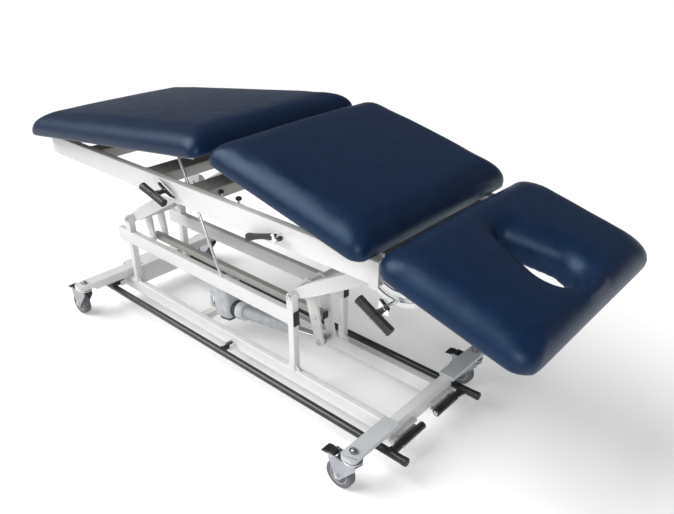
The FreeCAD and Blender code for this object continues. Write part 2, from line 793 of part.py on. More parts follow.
def face_opening():
    """Teardrop hole whose small end points towards the hinge."""
    centre = head_start + face_centre
    tip = head_start + face_tip
    z0 = seat_rise - 1
    height = cushion_thickness + 2
    lean = asin((face_radius - face_tip_radius) / (centre - tip))
    along = sin(lean)
    across = cos(lean)
    sides = []
    for x, radius in ((tip, face_tip_radius), (centre, face_radius)):
        sides.append(V(x - radius * along, radius * across, z0))
    corners = sides + [V(point.x, -point.y, z0) for point in reversed(sides)]
    flanks = Part.Face(Part.makePolygon(corners + corners[:1])).extrude(V(0, 0, height))
    return fused([
        flanks,
        Part.makeCylinder(face_radius, height, V(centre, 0, z0)),
        Part.makeCylinder(face_tip_radius, height, V(tip, 0, z0)),
    ])


def set_foot(shape):
    return placed(shape, (foot_hinge_x, hinge_z), foot_angle)


def set_mid(shape):
    return placed(shape, (mid_hinge_x, hinge_z), -mid_angle)


def set_head(shape):
    return placed(shape, (head_hinge_x, hinge_z), -head_angle)


def flat_point(point, hinge_x, angle):
    """Coordinates of a rest point in a section's own flat drawing."""
    dx = point[0] - hinge_x
    dz = point[1] - hinge_z
    a = radians(angle)
    return (dx * cos(a) + dz * sin(a), -dx * sin(a) + dz * cos(a))


def hinge_ear(x0, x1):
    """Ear under a section that turns on a hinge pin."""
    y0 = -section_ear_y
    y1 = -section_ear_y + ear_thickness
    blade = box(x0, x1, y0, y1, seat_rise - 5, seat_rise)
    neck = box(-8, 8, y0, y1, 0, seat_rise)
    ear = fused([blade, neck, rod_y(0, 0, 8, y0, y1)])
    return ear.cut(rod_y(0, 0, hinge_pin_radius + running_gap, y0 - 1, y1 + 1))


def foot_brackets():
    """Hinge ears and the slotted bracket for the prop rod's top pin."""
    ears = both_sides(hinge_ear(-8, 70))
    x, z = flat_point(prop_top, foot_hinge_x, foot_angle)
    slot_half = prop_pin_radius + prop_slot_play
    y0 = prop_y + clutch_half_thickness + 1
    web = box(x - prop_slot_half - 16, x + prop_slot_half + 16, y0, y0 + 4, z - 20, seat_rise)
    slot = box(x - prop_slot_half, x + prop_slot_half, y0 - 1, y0 + 5, z - slot_half, z + slot_half)
    web = web.cut(slot)
    return [set_foot(piece) for piece in ears + [web]]


def mid_brackets():
    """Hinge ears and the slotted bracket for the gas spring."""
    ears = both_sides(hinge_ear(-70, 8))
    x, z = flat_point(spring_top, mid_hinge_x, -mid_angle)
    half = prop_pin_radius + spring_slot_play
    webs = []
    for side in (-1, 1):
        y0 = spring_y + side * 10
        web = box(x - 24, x + 24, y0, y0 + side * 4, z - 20, seat_rise)
        webs.append(web.cut(rod_y(x, z, half, y0 - 9, y0 + 9)))
    return [set_mid(piece) for piece in ears + webs]


def head_brackets():
    """Hinge ears and the arm that carries the clamp of the head section."""
    ears = both_sides(hinge_ear(-8, 80))
    x, z = flat_point(head_handle, head_hinge_x, -head_angle)
    y0 = quadrant_y + quadrant_thickness / 2 + 2
    outline = [(26, seat_rise), (110, seat_rise), (x + 15, z), (x - 15, z)]
    arm = fused([prism_y(outline, y0, y0 + 6), rod_y(x, z, 15, y0, y0 + 6)])
    arm = arm.cut(rod_y(x, z, handle_shaft_radius + running_gap, y0 - 1, y0 + 7))
    return [set_head(piece) for piece in ears + [arm]]


# Props and handles

def foot_prop_rod():
    shaft = prop_line(prop_radius, 0, prop_length)
    pin = rod_y(prop_top[0], prop_top[1], prop_pin_radius, prop_y - 7, prop_y + 20)
    eye = rod_y(prop_top[0], prop_top[1], 7, prop_y - 6, prop_y + 6)
    return [fused([shaft, pin, eye])]


def gas_spring_cylinder():
    """Cylinder drawn along X from its pivot, with its eye and pin."""
    length = spring_reach * 0.62
    body = rod((12, spring_y, 0), ALONG_X, spring_radius, length - 12)
    body = body.cut(rod((30, spring_y, 0), ALONG_X, spring_rod_radius + 0.3, length))
    eye = rod_y(0, 0, 9, spring_y - 9, spring_y + 9)
    neck = box(0, 14, spring_y - 7, spring_y + 7, -7, 7)
    pin = rod_y(0, 0, prop_pin_radius - running_gap, spring_y - 20, spring_y + 20)
    return [placed(fused([body, neck, eye, pin]), spring_pivot, spring_angle)]


def gas_spring_rod():
    start = 60.0
    shaft = rod((start, spring_y, 0), ALONG_X, spring_rod_radius, spring_reach - start)
    eye = rod_y(spring_reach, 0, 8, spring_y - 7, spring_y + 7)
    pin = rod_y(spring_reach, 0, prop_pin_radius, spring_y - 15, spring_y + 15)
    return [placed(fused([shaft, eye, pin]), spring_pivot, spring_angle)]


def t_handle(point, shaft_end, slope):
    """Cross grip on a shaft along Y."""
    x, z = point
    half = grip_length / 2
    grip = rod((x - half, grip_y, z), ALONG_X, grip_radius, grip_length)
    grip = raised(grip, point, slope)
    shaft = rod_y(x, z, handle_shaft_radius, grip_y, shaft_end)
    return [fused([grip, shaft])]


def foot_release_handle():
    return t_handle(foot_handle, prop_y - clutch_half_thickness + 20, -15)


def head_release_handle():
    end = quadrant_y + quadrant_thickness / 2 + 12
    return t_handle(head_handle, end, -28)


def mid_release_handle():
    """Paddle lever on a shaft through the near rail."""
    x, z = mid_handle
    y0 = -rail_half_width - 30
    y1 = y0 + 14
    blade = [(x + 10, z + 12), (x - 62, z - 2), (x - 128, z - 30),
             (x - 128, z - 44), (x - 52, z - 30), (x + 10, z - 8)]
    paddle = prism_y(blade, y0, y1)
    shaft = rod_y(x, z, handle_shaft_radius, y0, -rail_inner_y + 16)
    hub = rod_y(x, z, 13, y0, -rail_half_width - 2)
    return [fused([paddle, hub, shaft])]


# Casters, drawn with the swivel axis on the origin and the floor at zero

def caster_fork():
    """Swivel head, two legs, axle, stem and nut."""
    leg_inner = wheel_width / 2 + 1.5
    leg_outer = leg_inner + fork_plate
    radius = wheel_diameter / 2
    top = caster_height - 3
    crown_radius = 27.0
    legs = []
    for side in (-1, 1):
        outline = [(-caster_trail - 12, radius), (-caster_trail - 6, radius - 12),
                   (-caster_trail + 8, radius - 12),
                   (20, top - 24), (20, top), (-20, top), (-29, top - 12),
                   (-caster_trail - 30, top - 12), (-caster_trail - 30, top - 30)]
        leg = prism_y(outline, side * leg_inner, side * leg_outer)
        x, z = caster_pedal_pivot()
        legs.append(leg.cut(rod_y(x, z, axle_radius + running_gap, -leg_outer - 1, leg_outer + 1)))
    crown = rod((0, 0, top - 4), ALONG_Z, crown_radius, 4)
    bridge = box(-20, 20, -leg_outer, leg_outer, top - 4, top)
    race = rod((0, 0, top), ALONG_Z, crown_radius - 5, 2.7)
    stem = rod((0, 0, top), ALONG_Z, stem_radius, arm_top + 8 - top)
    nut = rod((0, 0, arm_top + 0.3), ALONG_Z, stem_radius + 5, 7)
    axle = rod_y(-caster_trail, radius, axle_radius, -leg_outer - 3, leg_outer + 3)
    return [fused([crown, bridge, race, stem, nut, axle] + legs)]


def caster_wheel():
    """Rubber tyre on a moulded hub."""
    radius = wheel_diameter / 2
    half = wheel_width / 2
    tyre = rod_y(-caster_trail, radius, radius, -half, half)
    tyre = tyre.makeFillet(6, [e for e in tyre.Edges if e.BoundBox.YLength < 0.1])
    tyre = tyre.cut(rod_y(-caster_trail, radius, hub_diameter / 2, -half, half))
    hub = rod_y(-caster_trail, radius, hub_diameter / 2, -half + 2, half - 2)
    hub = hub.cut(rod_y(-caster_trail, radius, axle_radius + running_gap, -half, half))
    return [tyre, hub]


def caster_pedal():
    """Brake pedal between the fork legs, on its own small pivot."""
    x, z = caster_pedal_pivot()
    half = wheel_width / 2 - 1
    pin_half = wheel_width / 2 + 1.5 + fork_plate
    sleeve = rod_y(x, z, 6.5, -half, half)
    pin = rod_y(x, z, axle_radius, -pin_half, pin_half)
    arm = prism_y([(x - 14, z - 4), (x - 14, z + 5), (x, z + 6), (x, z - 6)], -half, half)
    outline = [(-pedal_reach, z - 3), (-pedal_reach, z + 3), (x - 14, z + 9), (x - 14, z - 4)]
    tab = prism_y(outline, -half - 5, half + 5)
    return [fused([sleeve, pin, arm, tab])]


def caster_pedal_pivot():
    return (-caster_trail - 22, caster_height - 24)


caster_places = {
    "near_head": (head_caster_x, -caster_y),
    "far_head": (head_caster_x, caster_y),
    "near_foot": (foot_caster_x, -caster_y),
    "far_foot": (foot_caster_x, caster_y),
}


def caster_nodes():
    """Fork, wheel and pedal of each caster."""
    nodes = {}
    makers = (("fork", caster_fork), ("wheel", caster_wheel), ("pedal", caster_pedal))
    for place, (x, y) in caster_places.items():
        for part_name, maker in makers:
            pieces = maker()
            for piece in pieces:
                piece.translate(V(x, y, 0))
            nodes["caster_" + part_name + "_" + place] = pieces
    return nodes


def base_nodes():
    return {
        "lower_rails": lower_rails(),
        "upper_rails": upper_rails(),
        "rail_end_caps": rail_end_caps(),
        "frame_posts": frame_posts(),
        "end_crossmembers": end_crossmembers(),
        "foot_outriggers": foot_outriggers(),
        "head_caster_plates": head_caster_plates(),
        "pivot_lugs": pivot_lugs(),
        "base_pivot_bolts": base_pivot_bolts() + foot_bar_pins(),
        "actuator_mount": actuator_mount(),
        "foot_bar_brackets": foot_bar_brackets(),
    }


def lift_nodes():
    near_bar = foot_bar()
    return {
        "near_foot_bar": near_bar,
        "far_foot_bar": [mirrored(piece) for piece in near_bar],
        "lift_arm_head": lift_arm(head_pivot),
        "lift_levers_head": lift_lever(head_pivot, drive_lever, (tie_lever, drive_lever)),
        "lever_pins_head": lever_pins((head_tie_pin, drive_pin)),
        "lift_arm_foot": lift_arm(foot_pivot),
        "lift_levers_foot": lift_lever(foot_pivot, tie_lever, (tie_lever,)),
        "lever_pin_foot": lever_pins((foot_tie_pin,)),
        "tie_bar": tie_bar(),
        "tie_bar_caps": tie_bar_caps(),
        "actuator_rod": actuator_rod(),
        "actuator_tube": actuator_tube(),
        "actuator_motor": actuator_motor(),
    }


def top_nodes():
    return {
        "top_side_rails": top_side_rails(),
        "top_crossmembers": top_crossmembers(),
        "top_pivot_lugs": top_pivot_lugs(),
        "top_frame_bolts": top_frame_bolts(),
        "frame_hinge_ears": frame_hinge_ears(),
        "foot_lock_clutch": foot_lock_clutch(),
        "rest_bumpers": rest_bumpers(),
        "head_lock_quadrant": head_lock_quadrant(),
        "foot_prop_rod": foot_prop_rod(),
        "gas_spring_cylinder": gas_spring_cylinder(),
        "gas_spring_rod": gas_spring_rod(),
        "foot_release_handle": foot_release_handle(),
        "mid_release_handle": mid_release_handle(),
        "head_release_handle": head_release_handle(),
    }


def section_nodes():
    hole = face_opening()
    return {
        "foot_cushion": [set_foot(cushion(foot_start, foot_end))],
        "foot_board": [set_foot(board(foot_start, foot_end))],
        "foot_brackets": foot_brackets(),
        "mid_cushion": [set_mid(cushion(mid_start, mid_end))],
        "mid_board": [set_mid(board(mid_start, mid_end))],
        "mid_brackets": mid_brackets(),
        "head_cushion": [set_head(cushion(head_start, head_end, hole))],
        "head_board": [set_head(board(head_start, head_end, hole))],
        "head_brackets": head_brackets(),
    }


def origin_shift(nodes):
    """X that puts the origin under the middle of the whole table."""
    low = min(nodes["foot_cushion"][0].optimalBoundingBox(False).XMin, foot_bar_foot_x - 5)
    high = nodes["head_cushion"][0].optimalBoundingBox(False).XMax
    return -(low + high) / 2


def all_nodes():
    nodes = {}
    for group in (base_nodes(), lift_nodes(), top_nodes(), section_nodes(), caster_nodes()):
        nodes.update(group)
    return nodes


def main():
    os.makedirs("parts", exist_ok=True)
    nodes = all_nodes()
    shift = origin_shift(nodes)
    print("origin shift along X:", round(shift, 4), "nodes:", len(nodes))
    for name, pieces in nodes.items():
        for piece in pieces:
            piece.translate(V(shift, 0, 0))
        shape = pieces[0] if len(pieces) == 1 else Part.makeCompound(pieces)
        shape.exportStep("parts/" + name + ".step")


if __name__ == "__main__":
    main()
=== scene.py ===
import json
from math import cos, pi, radians, sin

import bmesh
import bpy
import numpy as np
from bpy.props import FloatProperty, FloatVectorProperty, IntProperty, PointerProperty
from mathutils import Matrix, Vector


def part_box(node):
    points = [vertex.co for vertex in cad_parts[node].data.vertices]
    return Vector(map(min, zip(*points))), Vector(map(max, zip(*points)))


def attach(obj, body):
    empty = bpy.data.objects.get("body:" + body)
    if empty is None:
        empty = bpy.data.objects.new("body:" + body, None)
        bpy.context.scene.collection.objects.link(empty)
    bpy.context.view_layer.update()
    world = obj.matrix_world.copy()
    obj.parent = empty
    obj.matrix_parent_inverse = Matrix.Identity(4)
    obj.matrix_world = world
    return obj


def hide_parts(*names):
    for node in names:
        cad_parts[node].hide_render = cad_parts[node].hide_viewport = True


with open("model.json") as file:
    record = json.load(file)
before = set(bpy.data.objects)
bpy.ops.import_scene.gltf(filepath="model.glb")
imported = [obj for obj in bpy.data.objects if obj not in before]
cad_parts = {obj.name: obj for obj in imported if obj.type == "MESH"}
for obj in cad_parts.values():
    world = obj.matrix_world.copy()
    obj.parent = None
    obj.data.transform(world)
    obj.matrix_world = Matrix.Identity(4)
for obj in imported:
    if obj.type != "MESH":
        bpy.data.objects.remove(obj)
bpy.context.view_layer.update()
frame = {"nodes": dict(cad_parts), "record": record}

bl_info = {
    "name": "Treatment table",
    "version": (1, 0, 0),
    "blender": (4, 5, 0),
    "location": "View3D > Sidebar > Treatment table",
    "description": "Dresses the packed model of a lifting treatment table with upholstery, tube, "
                   "casters and controls",
    "category": "Object",
}

JOINTS = {joint["name"]: joint for joint in frame["record"]["behaviour"]["joints"]}
SLOPES = {"foot": 7.35, "mid": -13.44, "head": -15.56}

# Layout values that the frame doesn't give. The tabled x values use the layout's own zero.
HALF_WIDTH = 0.343       # half the width of a cushion
BAR_Y = 0.191            # foot bars, from the middle
BAR_END_X = 0.642        # head end of a foot bar in the layout
RAIL_END_X = 0.586       # head end of the top rails in the layout
PROP_Y = -0.238          # prop rod, on the near side
PROP_EYE = 0.007         # radius of the prop rod's upper eye
BUMPER_Y = 0.232         # rest bumpers, from the middle
LEVEL_OF_WRAP = 0.0135   # how far the vinyl reaches below the seat in the face opening
LEAN_OF_WALL = 0.011     # how far the wall of the face opening leans in
DROP_OF_LIP = 0.054      # height of the rolled lip round the face opening

ALONG_X = np.array((1.0, 0.0, 0.0))
ALONG_Y = np.array((0.0, 1.0, 0.0))
ALONG_Z = np.array((0.0, 0.0, 1.0))


# Sizes and colours

def length(name, description, default):
    return FloatProperty(name=name, description=description, default=default, unit="LENGTH", precision=4)


def colour(name, description, default):
    return FloatVectorProperty(name=name, description=description, default=default,
                               subtype="COLOR", size=3, min=0.0, max=1.0)


class TableUpholstery(bpy.types.PropertyGroup):
    vinyl: colour("Vinyl", "Colour of the vinyl", (0.0042, 0.0145, 0.043))
    roll: length("Edge roll", "Width of the rolled top edge", 0.052)
    under_roll: length("Lower roll", "Radius of the edge round the board", 0.005)
    corner: length("Corner", "Radius of the corners at the board", 0.034)
    head_corner: length("Head corner", "Radius of the corners of the face section", 0.052)
    crown: length("Crown", "Rise of the middle of a cushion", 0.007)
    swell: length("Swell", "Most that the inner pressure may move the vinyl", 0.007)
    slack: length("Slack", "How much smaller the form is than the finished cushion", 0.002)
    lip: length("Face lip", "Width of the rolled lip round the face opening", 0.056)
    voxel: length("Mesh size", "Size of the mesh squares of a cushion", 0.0075)
    foam: length("Foam", "Height of a cushion above its hinge line", 0.0735)
    seat: length("Seat", "Height of the board above its hinge line", 0.015)


class TableFrame(bpy.types.PropertyGroup):
    tube: length("Tube width", "Width of the square frame tube", 0.025)
    wall: length("Tube wall", "Wall of the frame tube", 0.0025)
    tube_corner: length("Tube corner", "Outer corner radius of the frame tube", 0.0032)
    bead: length("Weld bead", "Radius of the weld beads", 0.0022)
    coat: colour("Powder coat", "Colour of the frame", (0.66, 0.66, 0.65))
    plate_coat: colour("Plate coat", "Colour of the caster plates", (0.44, 0.465, 0.48))
    # Painted shade: the tie bar and top cross-members are coloured darker than the white frame to stand in
    # for the shade under the cushions
    inner_coat: colour("Inner coat", "Colour of the tie bar and the cross-members of the top",
                       (0.30, 0.295, 0.28))


class TableControls(bpy.types.PropertyGroup):
    bar_radius: length("Foot bar radius", "Radius of the long foot bars", 0.0125)
    grip_length: length("Grip length", "Length of a cross grip", 0.115)
    grip_radius: length("Grip radius", "Radius of a cross grip", 0.0130)
    foot_grip_slope: FloatProperty(name="Foot grip slope", description="Slope of the foot grip",
                                   default=radians(-15), subtype="ANGLE")
    head_grip_slope: FloatProperty(name="Head grip slope", description="Slope of the head grip",
                                   default=radians(-28), subtype="ANGLE")
    plastic: colour("Black plastic", "Colour of the moulded grips and caps", (0.012, 0.012, 0.013))
    bar_coat: colour("Bar coat", "Colour of the foot bars", (0.010, 0.010, 0.011))


class TableDrive(bpy.types.PropertyGroup):
    span: length("Actuator span", "Distance between the two pins of the actuator", 0.570)
    tube_radius: length("Outer tube", "Radius of the outer tube of the actuator", 0.025)
    rod_radius: length("Rod radius", "Radius of the moving rod", 0.015)
    housing: colour("Housing", "Colour of the motor housing", (0.56, 0.58, 0.60))
    cover: colour("Cover", "Colour of the motor's end cover and ring", (0.055, 0.06, 0.065))
    tube: colour("Tube", "Colour of the outer tube", (0.40, 0.42, 0.44))


class TableCasters(bpy.types.PropertyGroup):
    wheel_radius: length("Wheel radius", "Radius of a caster wheel", 0.045)
    wheel_width: length("Wheel width", "Width of a caster wheel", 0.028)
    tread_lines: IntProperty(name="Pedal ribs", description="Ribs on each brake pedal", default=5, min=0)
    tyre: colour("Tyre", "Colour of the tyre", (0.085, 0.09, 0.10))
    hub: colour("Hub", "Colour of the hub", (0.42, 0.44, 0.46))


class TableStage(bpy.types.PropertyGroup):
    floor: colour("Floor", "Colour of the floor", (0.80, 0.80, 0.80))
    key: FloatProperty(name="Key light", description="Strength of the wide main light", default=3.9, min=0.0)
    fill: FloatProperty(name="Fill light", description="Power of the fill light", default=48.0, min=0.0)
    glow: FloatProperty(name="Glow", description="Light from the floor itself", default=0.24, min=0.0)
    sky: FloatProperty(name="Sky", description="Strength of the even light", default=0.17, min=0.0)


GROUPS = (
    ("table_upholstery", TableUpholstery), ("table_frame", TableFrame), ("table_controls", TableControls),
    ("table_drive", TableDrive), ("table_casters", TableCasters), ("table_stage", TableStage),
)


# Places

def place(*values):
    return np.array(values, float)


def pivot(name):
    return np.array(JOINTS[name]["pos_m"], float)


def node_box(name):
    low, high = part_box(name)
    return np.array(low, float), np.array(high, float)


def unit(vector):
    vector = np.asarray(vector, float)
    return vector / np.linalg.norm(vector)


def turned_up(points, hinge, angle):
    """x' = x cos a - z sin a and z' = x sin a + z cos a, then moved to the hinge."""
    points = np.asarray(points, float)
    turned = points.copy()
    turned[..., 0] = points[..., 0] * cos(angle) - points[..., 2] * sin(angle)
    turned[..., 2] = points[..., 0] * sin(angle) + points[..., 2] * cos(angle)
    return turned + hinge


# Surfaces: each is a pair of a vertex array and a list of faces

def sheet_of(points, closed_round=True, closed_along=False, caps=False):
    """Quads over rows and columns of points: point (i, j) joins (i + 1, j) and (i, j + 1)."""
    rows, columns = points.shape[:2]
    index = np.arange(rows * columns).reshape(rows, columns)
    low = index if closed_along else index[:-1]
    high = np.roll(index, -1, 0) if closed_along else index[1:]
    if closed_round:
        quads = np.stack([low, np.roll(low, -1, 1), np.roll(high, -1, 1), high], -1)
    else:
        quads = np.stack([low[:, :-1], low[:, 1:], high[:, 1:], high[:, :-1]], -1)
    faces = quads.reshape(-1, 4).tolist()
    if caps:
        faces.append(index[0][::-1].tolist())
        faces.append(index[-1].tolist())
    return points.reshape(-1, 3), faces


def frame_of(axis, side=None):
    """Two directions square to an axis and to each other."""
    axis = unit(axis)
    guess = ALONG_Y if side is None else np.asarray(side, float)
    if abs(np.dot(guess, axis)) > 0.95:
        guess = ALONG_X
    first = unit(guess - axis * np.dot(guess, axis))
    return first, np.cross(axis, first)


def lathe(profile, centre, axis, sides=40, hexagon=None, lobes=None):
    """centre + h * axis + r * (cos a, sin a): rows follow the profile of (r, h), columns the angle a.
    Rows named in hexagon have r divided by the cosine that makes six flats; lobes = (count, depth)
    adds depth * cos(count * a) to every r."""
    profile = np.asarray(profile, float)
    angle = np.linspace(0, 2 * pi, sides, endpoint=False)
    radius = np.repeat(profile[:, :1], sides, 1)
    if hexagon is not None:
        flats = cos(pi / 6) / np.cos((angle + pi / 6) % (pi / 3) - pi / 6)
        radius[hexagon] = radius[hexagon] * flats
    if lobes is not None:
        radius = radius + lobes[1] * np.cos(lobes[0] * angle)
    axis = unit(axis)
    first, second = frame_of(axis)
    ring = np.cos(angle)[:, None] * first + np.sin(angle)[:, None] * second
    points = centre + profile[:, 1, None, None] * axis + radius[..., None] * ring
    return sheet_of(points, caps=True)


def rounded_bar(length_, radius, edge, steps=4):
    """Profile of a round bar whose ends are rolled: r = radius - edge (1 - sin t), t over a quarter turn."""
    t = np.linspace(0, pi / 2, steps)
    rise = np.stack([radius - edge + edge * np.sin(t), edge * (1 - np.cos(t))], 1)
    fall = np.stack([rise[::-1, 0], length_ - rise[::-1, 1]], 1)
    return np.vstack([rise, fall])


def rounded_rectangle(width, depth, radius, steps=5):
    """Four quarter circles: corner + radius * (cos t, sin t), each turned on by a quarter."""
    t = np.linspace(0, pi / 2, steps)
    rows = []
    for turn, (sx, sy) in enumerate(((1, 1), (-1, 1), (-1, -1), (1, -1))):
        corner = place(sx * (width / 2 - radius), sy * (depth / 2 - radius))
        rows.append(corner + radius * np.stack([np.cos(t + turn * pi / 2), np.sin(t + turn * pi / 2)], 1))
    return np.vstack(rows)


def carried(profiles, centres, side, up):
    """Row i is centre i + x * side + y * up over the points (x, y) of profile i."""
    profiles = np.asarray(profiles, float)
    centres = np.asarray(centres, float)
    return centres[:, None, :] + profiles[..., :1] * side + profiles[..., 1:] * up


def hollow_tube(start, end, width, depth, sizes, side=ALONG_Y):
    """Rounded rectangle carried from start to end outside and back again inside, joined in rolled lips."""
    start, end = np.asarray(start, float), np.asarray(end, float)
    along = unit(end - start)
    side, up = frame_of(along, side)
    wall, corner, lip = sizes.wall, sizes.tube_corner, 0.0005
    outer = rounded_rectangle(width, depth, corner)
    tucked = rounded_rectangle(width - 2 * lip, depth - 2 * lip, corner - lip)
    inner = rounded_rectangle(width - 2 * wall, depth - 2 * wall, max(corner - wall, 0.0006))
    rows = [tucked, outer, outer, tucked, inner, inner]
    centres = [start, start + along * lip, end - along * lip, end, end, start]
    return sheet_of(carried(rows, centres, side, up), closed_along=True)


def solid_bar(start, end, width, depth, corner, edge, side=ALONG_Y):
    """Rounded rectangle carried from start to end, its last millimetres drawn in by a quarter circle."""
    start, end = np.asarray(start, float), np.asarray(end, float)
    along = unit(end - start)
    side, up = frame_of(along, side)
    t = np.linspace(0, pi / 2, 4)
    rows, centres = [], []
    for inset, travel in zip(edge * (1 - np.sin(t)), edge * (1 - np.cos(t))):
        rows.append(rounded_rectangle(width - 2 * inset, depth - 2 * inset, max(corner - inset, 0.0003)))
        centres.append(start + along * travel)
    for row, centre in zip(rows[::-1], centres[::-1]):
        centres.append(end - (centre - start))
        rows.append(row)
    return sheet_of(carried(rows, centres, side, up), caps=True)


def inward(outline):
    """Normals of a closed outline, turned to its left: (-dy, dx) of the central difference."""
    step = np.roll(outline, -1, 0) - np.roll(outline, 1, 0)
    normal = np.stack([-step[:, 1], step[:, 0]], 1)
    return normal / np.linalg.norm(normal, axis=1, keepdims=True)


def slab(outline, thickness, centre, side, up, edge=0.0006):
    """Outline carried through its thickness, drawn in by the edge radius at both faces."""
    outline = np.asarray(outline, float)
    normal = inward(outline)
    out = np.cross(side, up)
    t = np.linspace(0, pi / 2, 3)
    insets = np.concatenate([edge * (1 - np.sin(t)), (edge * (1 - np.sin(t)))[::-1]])
    travel = np.concatenate([edge * (1 - np.cos(t)), thickness - (edge * (1 - np.cos(t)))[::-1]])
    rows = outline[None] + normal[None] * insets[:, None, None]
    centres = centre + travel[:, None] * out
    return sheet_of(carried(rows, centres, side, up), caps=True)


def bead_round(width, depth, centre, side, up, radius, ripples=0.0045):
    """Weld bead: a small circle carried round a rounded rectangle.
    Its radius is r (1 + 0.14 cos(2 pi s / ripple))."""
    loop = rounded_rectangle(width, depth, 0.003, 4)
    loop = np.vstack([loop, loop[:1]])
    run = np.concatenate([[0], np.cumsum(np.linalg.norm(np.diff(loop, axis=0), axis=1))])
    count = max(24, int(run[-1] / ripples * 5))
    s = np.linspace(0, run[-1], count, endpoint=False)
    path = np.stack([np.interp(s, run, loop[:, 0]), np.interp(s, run, loop[:, 1])], 1)
    normal = inward(path)
    swell = radius * (1 + 0.14 * np.cos(2 * pi * s / ripples))
    angle = np.linspace(0, 2 * pi, 8, endpoint=False)
    out = np.cross(side, up)
    flat = path[:, None, :] + normal[:, None, :] * (swell[:, None, None] * np.cos(angle)[None, :, None])
    lift = swell[:, None] * np.sin(angle)[None, :]
    points = centre + flat[..., :1] * side + flat[..., 1:] * up + lift[..., None] * out
    return sheet_of(points, closed_along=True)


def seam_line(start, end, radius, ripple=0.0045):
    """Straight weld bead: a small circle of radius r (1 + 0.14 cos(2 pi s / ripple)) carried along a line."""
    span = np.linalg.norm(np.asarray(end) - start)
    h = np.linspace(0, span, max(12, int(span / ripple * 5)))
    taper = np.minimum(1, np.sqrt(np.clip(np.minimum(h, span - h) / radius, 0, 1)) + 0.1)
    profile = np.stack([radius * taper * (1 + 0.14 * np.cos(2 * pi * h / ripple)), h], 1)
    return lathe(profile, np.asarray(start, float), np.asarray(end) - start, sides=8)


def bolt(face, outward, radius, head=0.006, across=0.010, shank=0.03, nut=False):
    """Washer, hexagon head with a chamfered crown, and shank, as lathe surfaces about one axis."""
    outward = unit(outward)
    face = np.asarray(face, float)
    washer = rounded_bar(0.0016, across * 1.22, 0.0004, 3)
    crown = head - 0.0016
    rise = [(across * 0.99, 0.0), (across, 0.0003), (across, crown * 0.78), (across * 0.86, crown),
            (across * 0.60, crown), (across * 0.56, crown * 0.55)]
    surfaces = [lathe(washer, face, outward, 32),
                lathe(rise, face + outward * 0.0016, outward, 48, hexagon=[0, 1, 2])]
    if nut:
        tip = [(radius * 0.98, 0.0), (radius, head * 0.9), (radius * 0.82, head * 1.15), (0.0002, head * 1.2)]
        surfaces.append(lathe(tip, face, outward, 24))
    if shank:
        surfaces.append(lathe(rounded_bar(shank, radius, 0.0005, 3), face, -outward, 24))
    return surfaces


# Pieces

def piece(name, body, surfaces, finishes, stands_for=(), flat=False, angle=35.0):
    """One object from surfaces, each with the number of its finish, with normals set outwards."""
    verts, faces, marks = [], [], []
    start = 0
    for surface, mark in surfaces:
        points, polygons = surface
        verts.append(points)
        faces.extend([[i + start for i in polygon] for polygon in polygons])
        marks.extend([mark] * len(polygons))
        start += len(points)
    mesh = bpy.data.meshes.new(name)
    mesh.from_pydata(np.vstack(verts).tolist(), [], faces)
    mesh.polygons.foreach_set("material_index", marks)
    mesh.update()
    return shown(name, mesh, body, finishes, stands_for, flat, angle)


def shown(name, mesh, body, finishes, stands_for=(), flat=False, angle=35.0):
    """Object at the origin, merged, turned outwards, smoothed and riding on its body."""
    work = bmesh.new()
    work.from_mesh(mesh)
    bmesh.ops.remove_doubles(work, verts=work.verts, dist=1e-6)
    bmesh.ops.recalc_face_normals(work, faces=work.faces)
    work.to_mesh(mesh)
    work.free()
    if not flat:
        mesh.shade_smooth()
        mesh.set_sharp_from_angle(angle=radians(angle))
    made = bpy.data.objects.new(name, mesh)
    bpy.context.scene.collection.objects.link(made)
    for finish in finishes:
        mesh.materials.append(finish)
    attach(made, body)
    if stands_for:
        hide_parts(*stands_for)
    return made


def softened(node, body, finish, edge=0.0008):
    """Copy of a CAD node with its triangles merged, flat faces joined and sharp edges rolled."""
    mesh = frame["nodes"][node].data.copy()
    mesh.materials.clear()
    work = bmesh.new()
    work.from_mesh(mesh)
    bmesh.ops.remove_doubles(work, verts=work.verts, dist=2e-6)
    bmesh.ops.dissolve_limit(work, angle_limit=radians(1.0), verts=work.verts, edges=work.edges)
    work.to_mesh(mesh)
    work.free()
    mesh.name = node + "_rolled"
    made = shown(node + "_rolled", mesh, body, [finish], (node,), angle=32.0)
    roll = made.modifiers.new("Rolled edges", "BEVEL")
    roll.width = edge
    roll.segments = 2
    roll.limit_method = "ANGLE"
    roll.angle_limit = radians(32)
    roll.harden_normals = True
    roll.use_clamp_overlap = True
    return made


def coated(finish, *nodes):
    """Gives CAD nodes that keep their shape their finish."""
    for node in nodes:
        mesh = frame["nodes"][node].data
        mesh.materials.clear()
        mesh.materials.append(finish)


# Shader groups

def new_group(name, inputs, outputs):
    group = bpy.data.node_groups.new(name, "ShaderNodeTree")
    for label, default in inputs:
        kind = "NodeSocketVector" if isinstance(default, tuple) else "NodeSocketFloat"
        socket = group.interface.new_socket(name=label, in_out="INPUT", socket_type=kind)
        socket.default_value = default
    for label in outputs:
        group.interface.new_socket(name=label, in_out="OUTPUT", socket_type="NodeSocketFloat")
    return group, group.nodes.new("NodeGroupInput"), group.nodes.new("NodeGroupOutput")


def add(tree, kind, sockets=None, **settings):
    """New shader node with its settings, and with its sockets set or linked by name or number."""
    node = tree.nodes.new("ShaderNode" + kind)
    for key, value in settings.items():
        setattr(node, key, value)
    for key, value in (sockets or {}).items():
        if isinstance(value, bpy.types.NodeSocket):
            tree.links.new(value, node.inputs[key])
        else:
            node.inputs[key].default_value = value
    return node


def math_node(tree, operation, first, second=0.0, clamp=False):
    node = add(tree, "Math", {0: first, 1: second}, operation=operation, use_clamp=clamp)
    return node.outputs[0]


